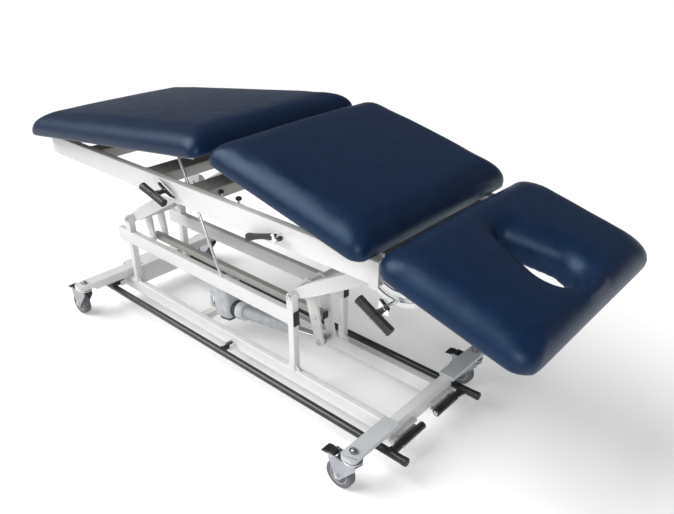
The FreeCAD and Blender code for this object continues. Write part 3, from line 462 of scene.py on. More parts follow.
def grain_group():
    """Fine: noise of a given scale, stretched by a vector.
    Blotch: broad noise of a fortieth of that scale."""
    group, start, end = new_group("Fine grain", [("Scale", 900.0), ("Stretch", (1.0, 1.0, 1.0))],
                                  ["Fine", "Blotch"])
    where = add(group, "TexCoord").outputs["Object"]
    stretched = add(group, "VectorMath", {0: where, 1: start.outputs["Stretch"]},
                    operation="MULTIPLY").outputs[0]
    fine = add(group, "TexNoise", {"Vector": stretched, "Scale": start.outputs["Scale"], "Detail": 3.0,
                                   "Roughness": 0.55})
    broad = math_node(group, "DIVIDE", start.outputs["Scale"], 40.0)
    blotch = add(group, "TexNoise", {"Vector": stretched, "Scale": broad, "Detail": 4.0})
    group.links.new(fine.outputs[0], end.inputs["Fine"])
    group.links.new(blotch.outputs[0], end.inputs["Blotch"])
    return group


def hide_group():
    """Cells: distance to the edge of Voronoi cells, softened, plus pores.
    Folds: slow noise of a hand's width."""
    group, start, end = new_group("Embossed hide", [("Cell Scale", 750.0), ("Fold Scale", 9.0)],
                                  ["Cells", "Folds", "Tone"])
    where = add(group, "TexCoord").outputs["Object"]
    warp = add(group, "TexNoise", {"Vector": where, "Scale": 220.0, "Detail": 2.0})
    push = add(group, "VectorMath", {0: warp.outputs[1], "Scale": 0.0012}, operation="SCALE").outputs[0]
    moved = add(group, "VectorMath", {0: where, 1: push}, operation="ADD").outputs[0]
    cells = add(group, "TexVoronoi", {"Vector": moved, "Scale": start.outputs["Cell Scale"]},
                feature="DISTANCE_TO_EDGE")
    raised = add(group, "MapRange", {0: cells.outputs[0], 1: 0.0, 2: 0.14, 3: 0.0, 4: 1.0},
                 interpolation_type="SMOOTHSTEP")
    pores = add(group, "TexNoise", {"Vector": where, "Scale": 2400.0, "Detail": 2.0})
    mixed = math_node(group, "MULTIPLY_ADD", pores.outputs[0], 0.35)
    group.nodes[-1].inputs[2].default_value = 0.0
    group.links.new(raised.outputs[0], group.nodes[-1].inputs[2])
    folds = add(group, "TexNoise", {"Vector": where, "Scale": start.outputs["Fold Scale"], "Detail": 1.5})
    tone = add(group, "TexNoise", {"Vector": where, "Scale": 26.0, "Detail": 5.0})
    group.links.new(mixed, end.inputs["Cells"])
    group.links.new(folds.outputs[0], end.inputs["Folds"])
    group.links.new(tone.outputs[0], end.inputs["Tone"])
    return group


def dust_group():
    """Dust: falls off with height over Reach, lies on faces that look up, broken by noise, times Amount."""
    group, start, end = new_group("Settled dust", [("Amount", 0.3), ("Reach", 0.2)], ["Dust"])
    where = add(group, "TexCoord").outputs["Object"]
    height = add(group, "SeparateXYZ", {0: where}).outputs["Z"]
    low = math_node(group, "DIVIDE", height, start.outputs["Reach"])
    near_floor = math_node(group, "SUBTRACT", 1.0, low, clamp=True)
    facing = add(group, "SeparateXYZ", {0: add(group, "NewGeometry").outputs["Normal"]}).outputs["Z"]
    upward = add(group, "MapRange", {0: facing, 1: -0.2, 2: 1.0, 3: 0.25, 4: 1.0}).outputs[0]
    noise = add(group, "TexNoise", {"Vector": where, "Scale": 60.0, "Detail": 6.0, "Roughness": 0.65})
    patch = add(group, "MapRange", {0: noise.outputs[0], 1: 0.38, 2: 0.68, 3: 0.2, 4: 1.0}).outputs[0]
    laid = math_node(group, "MULTIPLY", math_node(group, "MULTIPLY", near_floor, upward), patch)
    group.links.new(math_node(group, "MULTIPLY", laid, start.outputs["Amount"], clamp=True),
                    end.inputs["Dust"])
    return group


def scuff_group():
    """Scuffs: thin bands where a stretched noise crosses its middle, kept where a broad noise is high."""
    group, start, end = new_group("Handling scuffs", [("Scale", 40.0), ("Amount", 0.5)], ["Scuffs"])
    where = add(group, "TexCoord").outputs["Object"]
    thin = add(group, "VectorMath", {0: where, 1: (1.0, 7.0, 9.0)}, operation="MULTIPLY").outputs[0]
    lines = add(group, "TexNoise", {"Vector": thin, "Scale": start.outputs["Scale"], "Detail": 5.0})
    away = math_node(group, "ABSOLUTE", math_node(group, "SUBTRACT", lines.outputs[0], 0.5))
    band = add(group, "MapRange", {0: away, 1: 0.0, 2: 0.012, 3: 1.0, 4: 0.0}).outputs[0]
    patches = add(group, "TexNoise", {"Vector": where, "Scale": 7.0, "Detail": 2.0})
    kept = add(group, "MapRange", {0: patches.outputs[0], 1: 0.5, 2: 0.62, 3: 0.0, 4: 1.0}).outputs[0]
    both = math_node(group, "MULTIPLY", band, kept)
    group.links.new(math_node(group, "MULTIPLY", both, start.outputs["Amount"]), end.inputs["Scuffs"])
    return group


SHADER_GROUPS = {}
FINISHES = {}


def shader_group(name):
    makers = {"grain": grain_group, "hide": hide_group, "dust": dust_group, "scuffs": scuff_group}
    if name not in SHADER_GROUPS:
        SHADER_GROUPS[name] = makers[name]()
    return SHADER_GROUPS[name]


def use(tree, name, **sockets):
    node = tree.nodes.new("ShaderNodeGroup")
    node.node_tree = shader_group(name)
    for key, value in sockets.items():
        node.inputs[key.replace("_", " ")].default_value = value
    return node.outputs


def new_finish(name, roughness, metallic=0.0, coat=0.0, specular=0.5):
    """Material with one Principled BSDF, whose even values are set on its own sockets."""
    material = bpy.data.materials.new(name)
    material.use_nodes = True
    tree = material.node_tree
    shader = tree.nodes["Principled BSDF"]
    shader.inputs["Roughness"].default_value = roughness
    shader.inputs["Metallic"].default_value = metallic
    shader.inputs["Coat Weight"].default_value = coat
    shader.inputs["Coat Roughness"].default_value = 0.18
    shader.inputs["Specular IOR Level"].default_value = specular
    return material, tree, shader


def tinted(tree, mask, first, second):
    """Colour between two, by a mask."""
    mix = add(tree, "Mix", {0: mask}, data_type="RGBA")
    mix.inputs[6].default_value = (*first, 1.0)
    mix.inputs[7].default_value = (*second, 1.0)
    return mix.outputs[2]


def spread(tree, value, low, high, first=0.3, second=0.7):
    """Noise value from first..second mapped to low..high."""
    return add(tree, "MapRange", {0: value, 1: first, 2: second, 3: low, 4: high}).outputs[0]


def raise_normal(tree, shader, height, strength, distance, under=None):
    node = add(tree, "Bump", {"Height": height, "Strength": strength, "Distance": distance})
    if under is not None:
        tree.links.new(under, node.inputs["Normal"])
    tree.links.new(node.outputs[0], shader.inputs["Normal"])
    return node.outputs[0]


def shade(base, factor):
    return tuple(min(1.0, channel * factor) for channel in base)


def powder_finish(name, base, dust, reach):
    """Powder coat: orange-peel bump, slow change of tone, dust low down and faint scuffs."""
    material, tree, shader = new_finish(name, 0.36, coat=0.12)
    grain = use(tree, "grain", Scale=650.0)
    tone = tinted(tree, spread(tree, grain["Blotch"], 0.0, 1.0), shade(base, 0.955), shade(base, 1.02))
    laid = use(tree, "dust", Amount=dust, Reach=reach)["Dust"]
    soiled = add(tree, "Mix", {0: laid, 6: tone}, data_type="RGBA")
    soiled.inputs[7].default_value = (0.40, 0.38, 0.34, 1.0)
    scuffs = use(tree, "scuffs", Scale=30.0, Amount=0.25)["Scuffs"]
    marked = add(tree, "Mix", {0: scuffs, 6: soiled.outputs[2]}, data_type="RGBA")
    marked.inputs[7].default_value = (*shade(base, 0.7), 1.0)
    tree.links.new(marked.outputs[2], shader.inputs["Base Color"])
    rough = math_node(tree, "ADD", spread(tree, grain["Blotch"], 0.31, 0.42),
                      math_node(tree, "MULTIPLY", laid, 0.3))
    tree.links.new(rough, shader.inputs["Roughness"])
    raise_normal(tree, shader, grain["Fine"], 0.10, 0.0006)
    return material


def gloss_finish(name, base):
    """Gloss black coat on the foot bars, with shoe scuffs and a little dust on top."""
    material, tree, shader = new_finish(name, 0.34, coat=0.1)
    scuffs = use(tree, "scuffs", Scale=55.0, Amount=0.8)["Scuffs"]
    laid = use(tree, "dust", Amount=0.25, Reach=0.25)["Dust"]
    mask = math_node(tree, "MAXIMUM", scuffs, laid)
    tree.links.new(tinted(tree, mask, base, (0.10, 0.10, 0.10)), shader.inputs["Base Color"])
    grain = use(tree, "grain", Scale=500.0)
    rough = math_node(tree, "MULTIPLY_ADD", mask, 0.5)
    rough.node.inputs[2].default_value = 0.32
    tree.links.new(rough, shader.inputs["Roughness"])
    raise_normal(tree, shader, grain["Fine"], 0.06, 0.0004)
    return material


def moulded_finish(name, base, roughness=0.48, scale=1500.0, strength=0.22, dust=0.0,
                   worn=(0.05, 0.05, 0.05)):
    """Moulded plastic or rubber: spark-eroded grain, slow tone and a rubbed look where handled."""
    material, tree, shader = new_finish(name, roughness)
    grain = use(tree, "grain", Scale=scale)
    scuffs = use(tree, "scuffs", Scale=70.0, Amount=0.6)["Scuffs"]
    tone = tinted(tree, spread(tree, grain["Blotch"], 0.0, 1.0), shade(base, 0.85), shade(base, 1.12))
    marked = add(tree, "Mix", {0: scuffs, 6: tone}, data_type="RGBA")
    marked.inputs[7].default_value = (*worn, 1.0)
    colour_out = marked.outputs[2]
    if dust:
        laid = use(tree, "dust", Amount=dust, Reach=0.16)["Dust"]
        soiled = add(tree, "Mix", {0: laid, 6: colour_out}, data_type="RGBA")
        soiled.inputs[7].default_value = (0.34, 0.32, 0.29, 1.0)
        colour_out = soiled.outputs[2]
    tree.links.new(colour_out, shader.inputs["Base Color"])
    tree.links.new(spread(tree, grain["Blotch"], roughness - 0.06, roughness + 0.08),
                   shader.inputs["Roughness"])
    raise_normal(tree, shader, grain["Fine"], strength, 0.0004)
    return material


def metal_finish(name, base, roughness, stretch=(1.0, 1.0, 1.0), strength=0.05, spots=0.0):
    """Plated or drawn metal: stretched fine grain in roughness and bump, with slow clouding of the plate."""
    material, tree, shader = new_finish(name, roughness, metallic=1.0)
    grain = use(tree, "grain", Scale=900.0, Stretch=stretch)
    tone = tinted(tree, spread(tree, grain["Blotch"], 0.0, 1.0), shade(base, 0.86), shade(base, 1.06))
    tree.links.new(tone, shader.inputs["Base Color"])
    rough = math_node(tree, "ADD", spread(tree, grain["Fine"], roughness * 0.8, roughness * 1.2),
                      spread(tree, grain["Blotch"], 0.0, spots))
    tree.links.new(rough, shader.inputs["Roughness"])
    raise_normal(tree, shader, grain["Fine"], strength, 0.0003)
    return material


def vinyl_finish(name, base):
    """Upholstery vinyl: embossed cells and pores over slow folds, satin skin with a blue gloss, and painted
    shade in the grooves between the cells.
    """
    material, tree, shader = new_finish(name, 0.38, coat=0.0, specular=0.32)
    shader.inputs["Specular Tint"].default_value = (0.55, 0.76, 1.0, 1.0)
    hide = use(tree, "hide", Cell_Scale=620.0, Fold_Scale=7.0)
    tone = tinted(tree, spread(tree, hide["Tone"], 0.0, 1.0), shade(base, 0.86), shade(base, 1.14))
    # Painted shade: the grooves and pores of the emboss are darkened to 0.62 of the vinyl colour, following
    # the bump height
    painted_groove_shade = add(tree, "Mix", {0: spread(tree, hide["Cells"], 0.5, 0.0, 0.0, 0.6), 6: tone}, data_type="RGBA")
    painted_groove_shade.inputs[7].default_value = (*shade(base, 0.62), 1.0)
    tree.links.new(painted_groove_shade.outputs[2], shader.inputs["Base Color"])
    rough = math_node(tree, "ADD", spread(tree, hide["Tone"], 0.33, 0.40),
                      spread(tree, hide["Cells"], 0.05, 0.0, 0.0, 1.0))
    tree.links.new(rough, shader.inputs["Roughness"])
    slow = add(tree, "Bump", {"Height": hide["Folds"], "Strength": 0.10, "Distance": 0.012})
    raise_normal(tree, shader, hide["Cells"], 0.16, 0.00035, under=slow.outputs[0])
    return material


def board_finish_with_painted_shade(name):
    """Sealed board: bands of grain along it with darker late wood, under a near-black colour that is painted
    shade for the dark gaps between the cushions.
    """
    material, tree, shader = new_finish(name, 0.62)
    where = add(tree, "TexCoord").outputs["Object"]
    long_way = add(tree, "VectorMath", {0: where, 1: (1.0, 9.0, 9.0)}, operation="MULTIPLY").outputs[0]
    wave = add(tree, "TexNoise", {"Vector": long_way, "Scale": 5.0, "Detail": 6.0, "Distortion": 0.6})
    fibre = use(tree, "grain", Scale=500.0, Stretch=(0.12, 1.0, 1.0))
    bands = spread(tree, wave.outputs[0], 0.0, 1.0)
    # Near-black board colours: painted shade standing in for the shadow in the gaps between the cushions
    tree.links.new(tinted(tree, bands, (0.012, 0.011, 0.011), (0.030, 0.027, 0.025)),
                   shader.inputs["Base Color"])
    tree.links.new(spread(tree, fibre["Fine"], 0.5, 0.72), shader.inputs["Roughness"])
    raise_normal(tree, shader, fibre["Fine"], 0.25, 0.0005)
    return material


def finish(name):
    """The finish of that name, made when it is first asked for."""
    if name in FINISHES:
        return FINISHES[name]
    scene = bpy.context.scene
    upholstery, tubes = scene.table_upholstery, scene.table_frame
    controls, drive, casters = scene.table_controls, scene.table_drive, scene.table_casters
    makers = {
        "frame_coat": lambda: powder_finish("White frame coat", tuple(tubes.coat), 0.16, 0.35),
        "plate_coat": lambda: powder_finish("Pale caster plate coat", tuple(tubes.plate_coat), 0.25, 0.25),
        # Painted shade: a grey-brown coat stands in for the shadow on the white tie bar and top cross-members
        "inner_coat": lambda: powder_finish("Warm grey inner coat", tuple(tubes.inner_coat), 0.16, 0.45),
        "bar_coat": lambda: gloss_finish("Gloss foot bar coat", tuple(controls.bar_coat)),
        "plastic": lambda: moulded_finish("Black moulded plastic", tuple(controls.plastic)),
        "rubber": lambda: moulded_finish("Black rubber", (0.014, 0.014, 0.014), 0.7, 900.0, 0.3),
        "tyre": lambda: moulded_finish("Grey tyre rubber", tuple(casters.tyre), 0.66, 700.0, 0.35, 0.5,
                                       (0.16, 0.16, 0.16)),
        "hub": lambda: moulded_finish("Grey hub plastic", tuple(casters.hub), 0.45, 1400.0, 0.15, 0.3,
                                      (0.3, 0.3, 0.3)),
        "housing": lambda: moulded_finish("Motor housing plastic", tuple(drive.housing), 0.46, 1100.0,
                                          0.2, 0.0, (0.5, 0.5, 0.5)),
        "cover": lambda: moulded_finish("Motor cover plastic", tuple(drive.cover), 0.5, 1100.0, 0.2),
        "drive_tube": lambda: moulded_finish("Painted drive tube", tuple(drive.tube), 0.42, 1100.0, 0.2),
        "zinc": lambda: metal_finish("Bright zinc plate", (0.66, 0.67, 0.68), 0.30, strength=0.08,
                                     spots=0.14),
        "fork_plate": lambda: metal_finish("Caster fork plate", (0.40, 0.42, 0.45), 0.24, strength=0.06,
                                           spots=0.10),
        "chrome": lambda: metal_finish("Polished chrome", (0.80, 0.81, 0.82), 0.12, (0.3, 1.0, 1.0), 0.02,
                                       0.05),
        "steel": lambda: metal_finish("Drawn steel rod", (0.60, 0.61, 0.62), 0.26, (0.3, 1.0, 0.3), 0.05,
                                      0.1),
        "spring_black": lambda: moulded_finish("Gas spring black", (0.012, 0.012, 0.013), 0.26, 600.0, 0.06),
        "vinyl": lambda: vinyl_finish("Navy upholstery vinyl", tuple(upholstery.vinyl)),
        "board": lambda: board_finish_with_painted_shade("Plywood board"),
    }
    FINISHES[name] = makers[name]()
    return FINISHES[name]


# Base frame

class TABLE_OT_base_rails(bpy.types.Operator):
    """Lower and upper rails of the base, and the black caps on the upper rails"""
    bl_idname = "table.base_rails"
    bl_label = "Base rails"

    def execute(self, context):
        sizes = context.scene.table_frame
        coat = finish("frame_coat")
        for node in ("lower_rails", "upper_rails"):
            low, high = node_box(node)
            middle = high[1] - sizes.tube / 2
            surfaces = []
            for y in (-middle, middle):
                start = place(low[0], y, (low[2] + high[2]) / 2)
                end = place(high[0], y, (low[2] + high[2]) / 2)
                surfaces.append((hollow_tube(start, end, sizes.tube, high[2] - low[2], sizes), 0))
            piece(node + "_tube", "base", surfaces, [coat], (node,))
        low, high = node_box("rail_end_caps")
        depth = high[2] - low[2]
        middle = high[1] - sizes.tube / 2
        surfaces = []
        for y in (-middle, middle):
            face = place(low[0], y, (low[2] + high[2]) / 2)
            tip = face + ALONG_X * (high[0] - low[0])
            surfaces.append((solid_bar(face, tip, sizes.tube, depth, 0.003, 0.0016), 0))
            for step in (-0.3, 0.0, 0.3):
                centre = face + place(0.0001, 0, step * depth)
                surfaces.append((solid_bar(centre, tip + place(0.0006, 0, step * depth),
                                           sizes.tube * 0.6, 0.0022, 0.0008, 0.0005), 0))
        piece("rail_end_caps_moulded", "base", surfaces, [finish("plastic")], ("rail_end_caps",))
        return {"FINISHED"}


class TABLE_OT_posts(bpy.types.Operator):
    """Four posts between the rails with their gussets and weld beads"""
    bl_idname = "table.posts"
    bl_label = "Posts"

    def execute(self, context):
        sizes = context.scene.table_frame
        low, high = node_box("frame_posts")
        reach = 0.022
        surfaces = []
        middle = high[1] - sizes.tube / 2
        for x in (low[0] + reach + sizes.tube / 2, high[0] - reach - sizes.tube / 2):
            for y in (-middle, middle):
                start, end = place(x, y, low[2]), place(x, y, high[2])
                surfaces.append((hollow_tube(start, end, sizes.tube, sizes.tube, sizes), 0))
                for z in (low[2], high[2]):
                    bead = bead_round(sizes.tube, sizes.tube, place(x, y, z), ALONG_X, ALONG_Y, sizes.bead)
                    surfaces.append((bead, 0))
                for side in (-1, 1):
                    edge = x + side * sizes.tube / 2
                    outline = [(0, 0), (reach, 0), (0, reach)]
                    out = ALONG_X * side
                    corner = place(edge, y - side * sizes.wall, low[2])
                    surfaces.append((slab(outline, sizes.wall * 2, corner, out, ALONG_Z, 0.0005), 0))
                    for shift in (-sizes.wall, sizes.wall):
                        foot = place(edge, y + shift, low[2] + 0.001)
                        surfaces.append((seam_line(foot, foot + out * reach, sizes.bead * 0.6), 0))
        piece("frame_posts_tube", "base", surfaces, [finish("frame_coat")], ("frame_posts",))
        return {"FINISHED"}


class TABLE_OT_base_plates(bpy.types.Operator):
    """Cross-members, outriggers, caster plates, lugs and brackets of the base"""
    bl_idname = "table.base_plates"
    bl_label = "Base plates"

    def execute(self, context):
        sizes = context.scene.table_frame
        white = finish("frame_coat")
        softened("end_crossmembers", "base", white, 0.0011)
        softened("pivot_lugs", "base", white, 0.0015)
        softened("actuator_mount", "base", white, 0.0009)
        softened("foot_bar_brackets", "base", white, 0.0009)
        softened("foot_outriggers", "base", white, 0.0011)
        softened("head_caster_plates", "base", finish("plate_coat"), 0.0016)
        beads = []
        low, _ = node_box("end_crossmembers")
        rails = node_box("lower_rails")
        for y in (rails[0][1] + sizes.tube, rails[1][1] - sizes.tube):
            inner = -1 if y > 0 else 1
            for x in (low[0], low[0] + 0.088):
                start = place(x, y + inner * 0.001, 0.069)
                beads.append((seam_line(start, start + ALONG_Z * 0.046, sizes.bead), 0))
        for y in (rails[0][1], rails[1][1]):
            for x in (node_box("foot_outriggers")[0][0], node_box("foot_outriggers")[1][0]):
                start = place(x, y, 0.1155)
                beads.append((seam_line(start, start + ALONG_Z * 0.03, sizes.bead), 0))
        piece("base_weld_beads", "base", beads, [white])
        return {"FINISHED"}


class TABLE_OT_foot_bars(bpy.types.Operator):
    """Long black foot bars with caps, short arms and switch arms"""
    bl_idname = "table.foot_bars"
    bl_label = "Foot bars"

    def execute(self, context):
        controls = context.scene.table_controls
        radius = controls.bar_radius
        for node, side in (("near_foot_bar", -1), ("far_foot_bar", 1)):
            low, high = node_box(node)
            z = (low[2] + high[2]) / 2
            y = side * BAR_Y
            cap = 0.005
            start = place(low[0] + cap, y, z)
            span = high[0] - low[0] - 2 * cap
            surfaces = [(lathe(rounded_bar(span, radius, 0.0006), start, ALONG_X, 48), 0)]
            for x, way in ((low[0] + cap, 1), (high[0] - cap, -1)):
                dome = [(0.002, -cap), (radius * 0.62, -cap * 0.97), (radius * 0.9, -cap * 0.8),
                        (radius + 0.0008, -cap * 0.4), (radius + 0.0008, 0.010), (radius + 0.0003, 0.0112),
                        (radius - 0.0001, 0.0114)]
                surfaces.append((lathe(dome, place(x, y, z), ALONG_X * way, 48), 1))
            arms = ((-0.857, 0.010, 0.135), (-0.165, 0.010, 0.135), (0.583, radius - 0.0005, 0.034))
            for x, arm_radius, inner_y in arms:
                x += high[0] - BAR_END_X
                foot = place(x, side * inner_y, z)
                reach = BAR_Y - inner_y
                surfaces.append((lathe(rounded_bar(reach, arm_radius, 0.0012), foot, ALONG_Y * side, 40), 0))
                weld_y = BAR_Y - radius - 0.0005
                ring = [(arm_radius + 0.0002, -0.003), (arm_radius + 0.0022, -0.0012),
                        (arm_radius + 0.003, 0.0006), (arm_radius + 0.0012, 0.002)]
                surfaces.append((lathe(ring, place(x, side * weld_y, z), ALONG_Y * side, 40,
                                       lobes=(17, 0.0002)), 0))
            tip = place(high[0] - BAR_END_X + 0.583, side * 0.034, z)
            for part in bolt(tip, -ALONG_Y * side, 0.004, 0.0045, 0.0062, 0):
                surfaces.append((part, 2))
            finishes = [finish("bar_coat"), finish("plastic"), finish("chrome")]
            piece(node + "_rolled", node, surfaces, finishes, (node,))
        return {"FINISHED"}


class TABLE_OT_hardware(bpy.types.Operator):
    """Hexagon bolts, lever pins and hinge pins"""
    bl_idname = "table.hardware"
    bl_label = "Bolts and pins"

    def execute(self, context):
        zinc = [finish("zinc")]
        low, high = node_box("base_pivot_bolts")
        surfaces = []
        for name in ("lift", "foot_arm_swing"):
            x, _, z = pivot(name)
            for side in (-1, 1):
                face = place(x, side * 0.132, z)
                surfaces += [(part, 0) for part in bolt(face, ALONG_Y * side, 0.006, shank=0.052)]
        bar_z = pivot("near_foot_bar_rock")[2]
        shift = node_box("near_foot_bar")[1][0] - BAR_END_X
        for side in (-1, 1):
            for x in (-0.857, -0.165):
                start = place(x + shift - 0.0155, side * 0.146, bar_z)
                surfaces.append((lathe(rounded_bar(0.031, 0.004, 0.0006), start, ALONG_X, 24), 0))
            start = place(0.554 + shift, side * 0.146, bar_z)
            surfaces.append((lathe(rounded_bar(0.0445, 0.004, 0.0006), start, ALONG_X, 24), 0))
        piece("base_bolts_hex", "base", surfaces, zinc, ("base_pivot_bolts",))
        arm_tip = pivot("top_frame_level")
        foot_tip = pivot("foot_arm_swing") + arm_tip - pivot("lift")
        surfaces = []
        for x, _, z in (arm_tip, foot_tip):
            for side in (-1, 1):
                face = place(x, side * 0.113, z)
                surfaces += [(part, 0) for part in bolt(face, ALONG_Y * side, 0.006, shank=0.033)]
        for name in ("foot_section_tilt", "mid_section_tilt", "head_section_tilt"):
            x, _, z = pivot(name)
            for side in (-1, 1):
                start = place(x, side * 0.233, z)
                surfaces.append((lathe(rounded_bar(0.022, 0.005, 0.0008), start, ALONG_Y * side, 24), 0))
                collar = rounded_bar(0.0016, 0.0078, 0.0004, 3)
                surfaces.append((lathe(collar, place(x, side * 0.2345, z), -ALONG_Y * side, 28), 0))
        piece("top_bolts_hex", "top_frame", surfaces, zinc, ("top_frame_bolts",))
        for node, body, names in (("lever_pins_head", "lift_arm_head", ("tie_bar_level", "actuator_eye")),
                                  ("lever_pin_foot", "lift_arm_foot", ("tie_bar_level",))):
            low, high = node_box(node)
            middle = (low[1] + high[1]) / 2
            half = (high[1] - low[1]) / 2
            surfaces = []
            for name in names:
                centre = pivot(name)
                if body == "lift_arm_foot":
                    centre = centre + pivot("foot_arm_swing") - pivot("lift")
                for side in (-1, 1):
                    face = place(centre[0], middle + side * (half - 0.004), centre[2])
                    head = [(0.009, 0), (0.009, 0.0026), (0.0082, 0.0036), (0.006, 0.004), (0.0003, 0.0036)]
                    surfaces.append((lathe(head, face, ALONG_Y * side, 36), 0))
                start = place(centre[0], middle - half + 0.004, centre[2])
                surfaces.append((lathe(rounded_bar(2 * half - 0.008, 0.006, 0.0004), start, ALONG_Y, 28), 0))
            piece(node + "_turned", body, surfaces, zinc, (node,))
        return {"FINISHED"}


# Lift linkage and drive

class TABLE_OT_linkage(bpy.types.Operator):
    """Lift arms, levers and tie bar with its caps"""
    bl_idname = "table.linkage"
    bl_label = "Lift linkage"

    def execute(self, context):
        sizes = context.scene.table_frame
        white = finish("frame_coat")
        for end in ("head", "foot"):
            body = "lift_arm_" + end
            softened("lift_arm_" + end, body, white, 0.0011)
            softened("lift_levers_" + end, body, white, 0.0012)
        low, high = node_box("tie_bar")
        z, y = (low[2] + high[2]) / 2, (low[1] + high[1]) / 2
        tube = hollow_tube(place(low[0], y, z), place(high[0], y, z), sizes.tube, sizes.tube, sizes)
        # The tie bar gets the darker coat that paints the shade under the cushions
        piece("tie_bar_tube", "tie_bar", [(tube, 0)], [finish("inner_coat")], ("tie_bar",))
        surfaces = []
        for x, way in ((low[0], -1), (high[0], 1)):
            face = place(x, y, z)
            surfaces.append((solid_bar(face, face + ALONG_X * way * 0.004, sizes.tube, sizes.tube, 0.003,
                                       0.0015), 0))
        piece("tie_bar_caps_moulded", "tie_bar", surfaces, [finish("plastic")], ("tie_bar_caps",))
        return {"FINISHED"}


class TABLE_OT_actuator(bpy.types.Operator):
    """Linear actuator: motor housing, gear ring, outer tube and rod"""
    bl_idname = "table.actuator"
    bl_label = "Actuator"

    def execute(self, context):
        drive = context.scene.table_drive
        along = -unit(JOINTS["actuator_stroke"]["axis"])
        up = np.cross(along, ALONG_Y)
        if up[2] < 0:
            up = -up
        eye = pivot("actuator_eye")
        tail = eye - along * drive.span

        def at(x, y, z):
            return tail + along * x + ALONG_Y * y + up * z

        surfaces = [
            (solid_bar(at(0.074, -0.002, -0.030), at(0.074, -0.002, 0.118), 0.082, 0.084, 0.016, 0.014,
                       along), 0),
            (solid_bar(at(0.074, -0.002, -0.040), at(0.074, -0.002, -0.029), 0.062, 0.066, 0.012, 0.003,
                       along), 1),
        ]
        for z in (0.006, 0.086):
            surfaces.append((solid_bar(at(0.074, -0.002, z), at(0.074, -0.002, z + 0.003), 0.0828, 0.0848,
                                       0.0164, 0.0010, along), 0))
        for k in range(5):
            z = 0.030 + k * 0.009
            rib = solid_bar(at(0.047, -0.0446, z), at(0.101, -0.0446, z), 0.0022, 0.0030, 0.0008, 0.0006)
            surfaces.append((rib, 0))
        for x in (0.052, 0.096):
            for y in (-0.024, 0.020):
                screw = [(0.0036, 0), (0.0036, 0.0010), (0.0028, 0.0016), (0.0016, 0.0016), (0.0014, 0.0006)]
                surfaces.append((lathe(screw, at(x, y, -0.040), -up, 24), 3))
        ring = [(0.031, 0), (0.033, 0.001)]
        for k in range(7):
            ring += [(0.033, 0.0025 + k * 0.003), (0.0318, 0.0035 + k * 0.003), (0.033, 0.0045 + k * 0.003)]
        ring += [(0.033, 0.0245), (0.031, 0.0255)]
        surfaces.append((lathe(ring, at(0.1148, 0, 0), along, 56), 1))
        collar = [(0.032, 0), (0.035, 0.0015), (0.035, 0.026), (0.0335, 0.030), (0.030, 0.0345),
                  (0.026, 0.0352)]
        surfaces.append((lathe(collar, at(0.1398, 0, 0), along, 56), 0))
        ears = [(0.013, -0.011), (0.0132, -0.010), (0.0132, 0.010), (0.013, 0.011)]
        surfaces.append((lathe(ears, tail, ALONG_Y, 40), 3))
        surfaces.append((solid_bar(tail, at(0.036, 0, 0), 0.0218, 0.0255, 0.004, 0.001), 3))
        surfaces.append((lathe(rounded_bar(0.048, 0.006, 0.001), tail - ALONG_Y * 0.024, ALONG_Y, 28), 3))
        finishes = [finish("housing"), finish("cover"), finish("drive_tube"), finish("zinc")]
        piece("actuator_motor_moulded", "actuator_body", surfaces, finishes, ("actuator_motor",))
        tube = [(0.0232, 0.0), (drive.tube_radius, 0.0012), (drive.tube_radius, 0.232), (0.0266, 0.2335),
                (0.0272, 0.236), (0.0272, 0.250), (0.0262, 0.2535), (0.0235, 0.2548), (0.0158, 0.2548),
                (0.0155, 0.250), (0.0155, 0.0)]
        surfaces = [(lathe(tube, at(0.175, 0, 0), along, 56), 0)]
        piece("actuator_tube_drawn", "actuator_body", surfaces, [finish("drive_tube")],
              ("actuator_tube",))
        rod = [(0.012, 0.0), (drive.rod_radius, 0.002), (drive.rod_radius, 0.226), (0.0165, 0.229),
               (0.0165, 0.238), (0.0145, 0.242)]
        surfaces = [(lathe(rod, at(0.320, 0, 0), along, 48), 0)]
        ball = [(0.0125, -0.012), (0.0165, -0.0113), (0.017, -0.010), (0.017, 0.010), (0.0165, 0.0113),
                (0.0125, 0.012)]
        surfaces.append((lathe(ball, eye, ALONG_Y, 48), 1))
        surfaces.append((solid_bar(at(0.545, 0, 0), at(0.566, 0, 0), 0.0236, 0.0236, 0.003, 0.001), 1))
        piece("actuator_rod_turned", "actuator_rod", surfaces, [finish("chrome"), finish("zinc")],
              ("actuator_rod",))
        return {"FINISHED"}


# Top frame

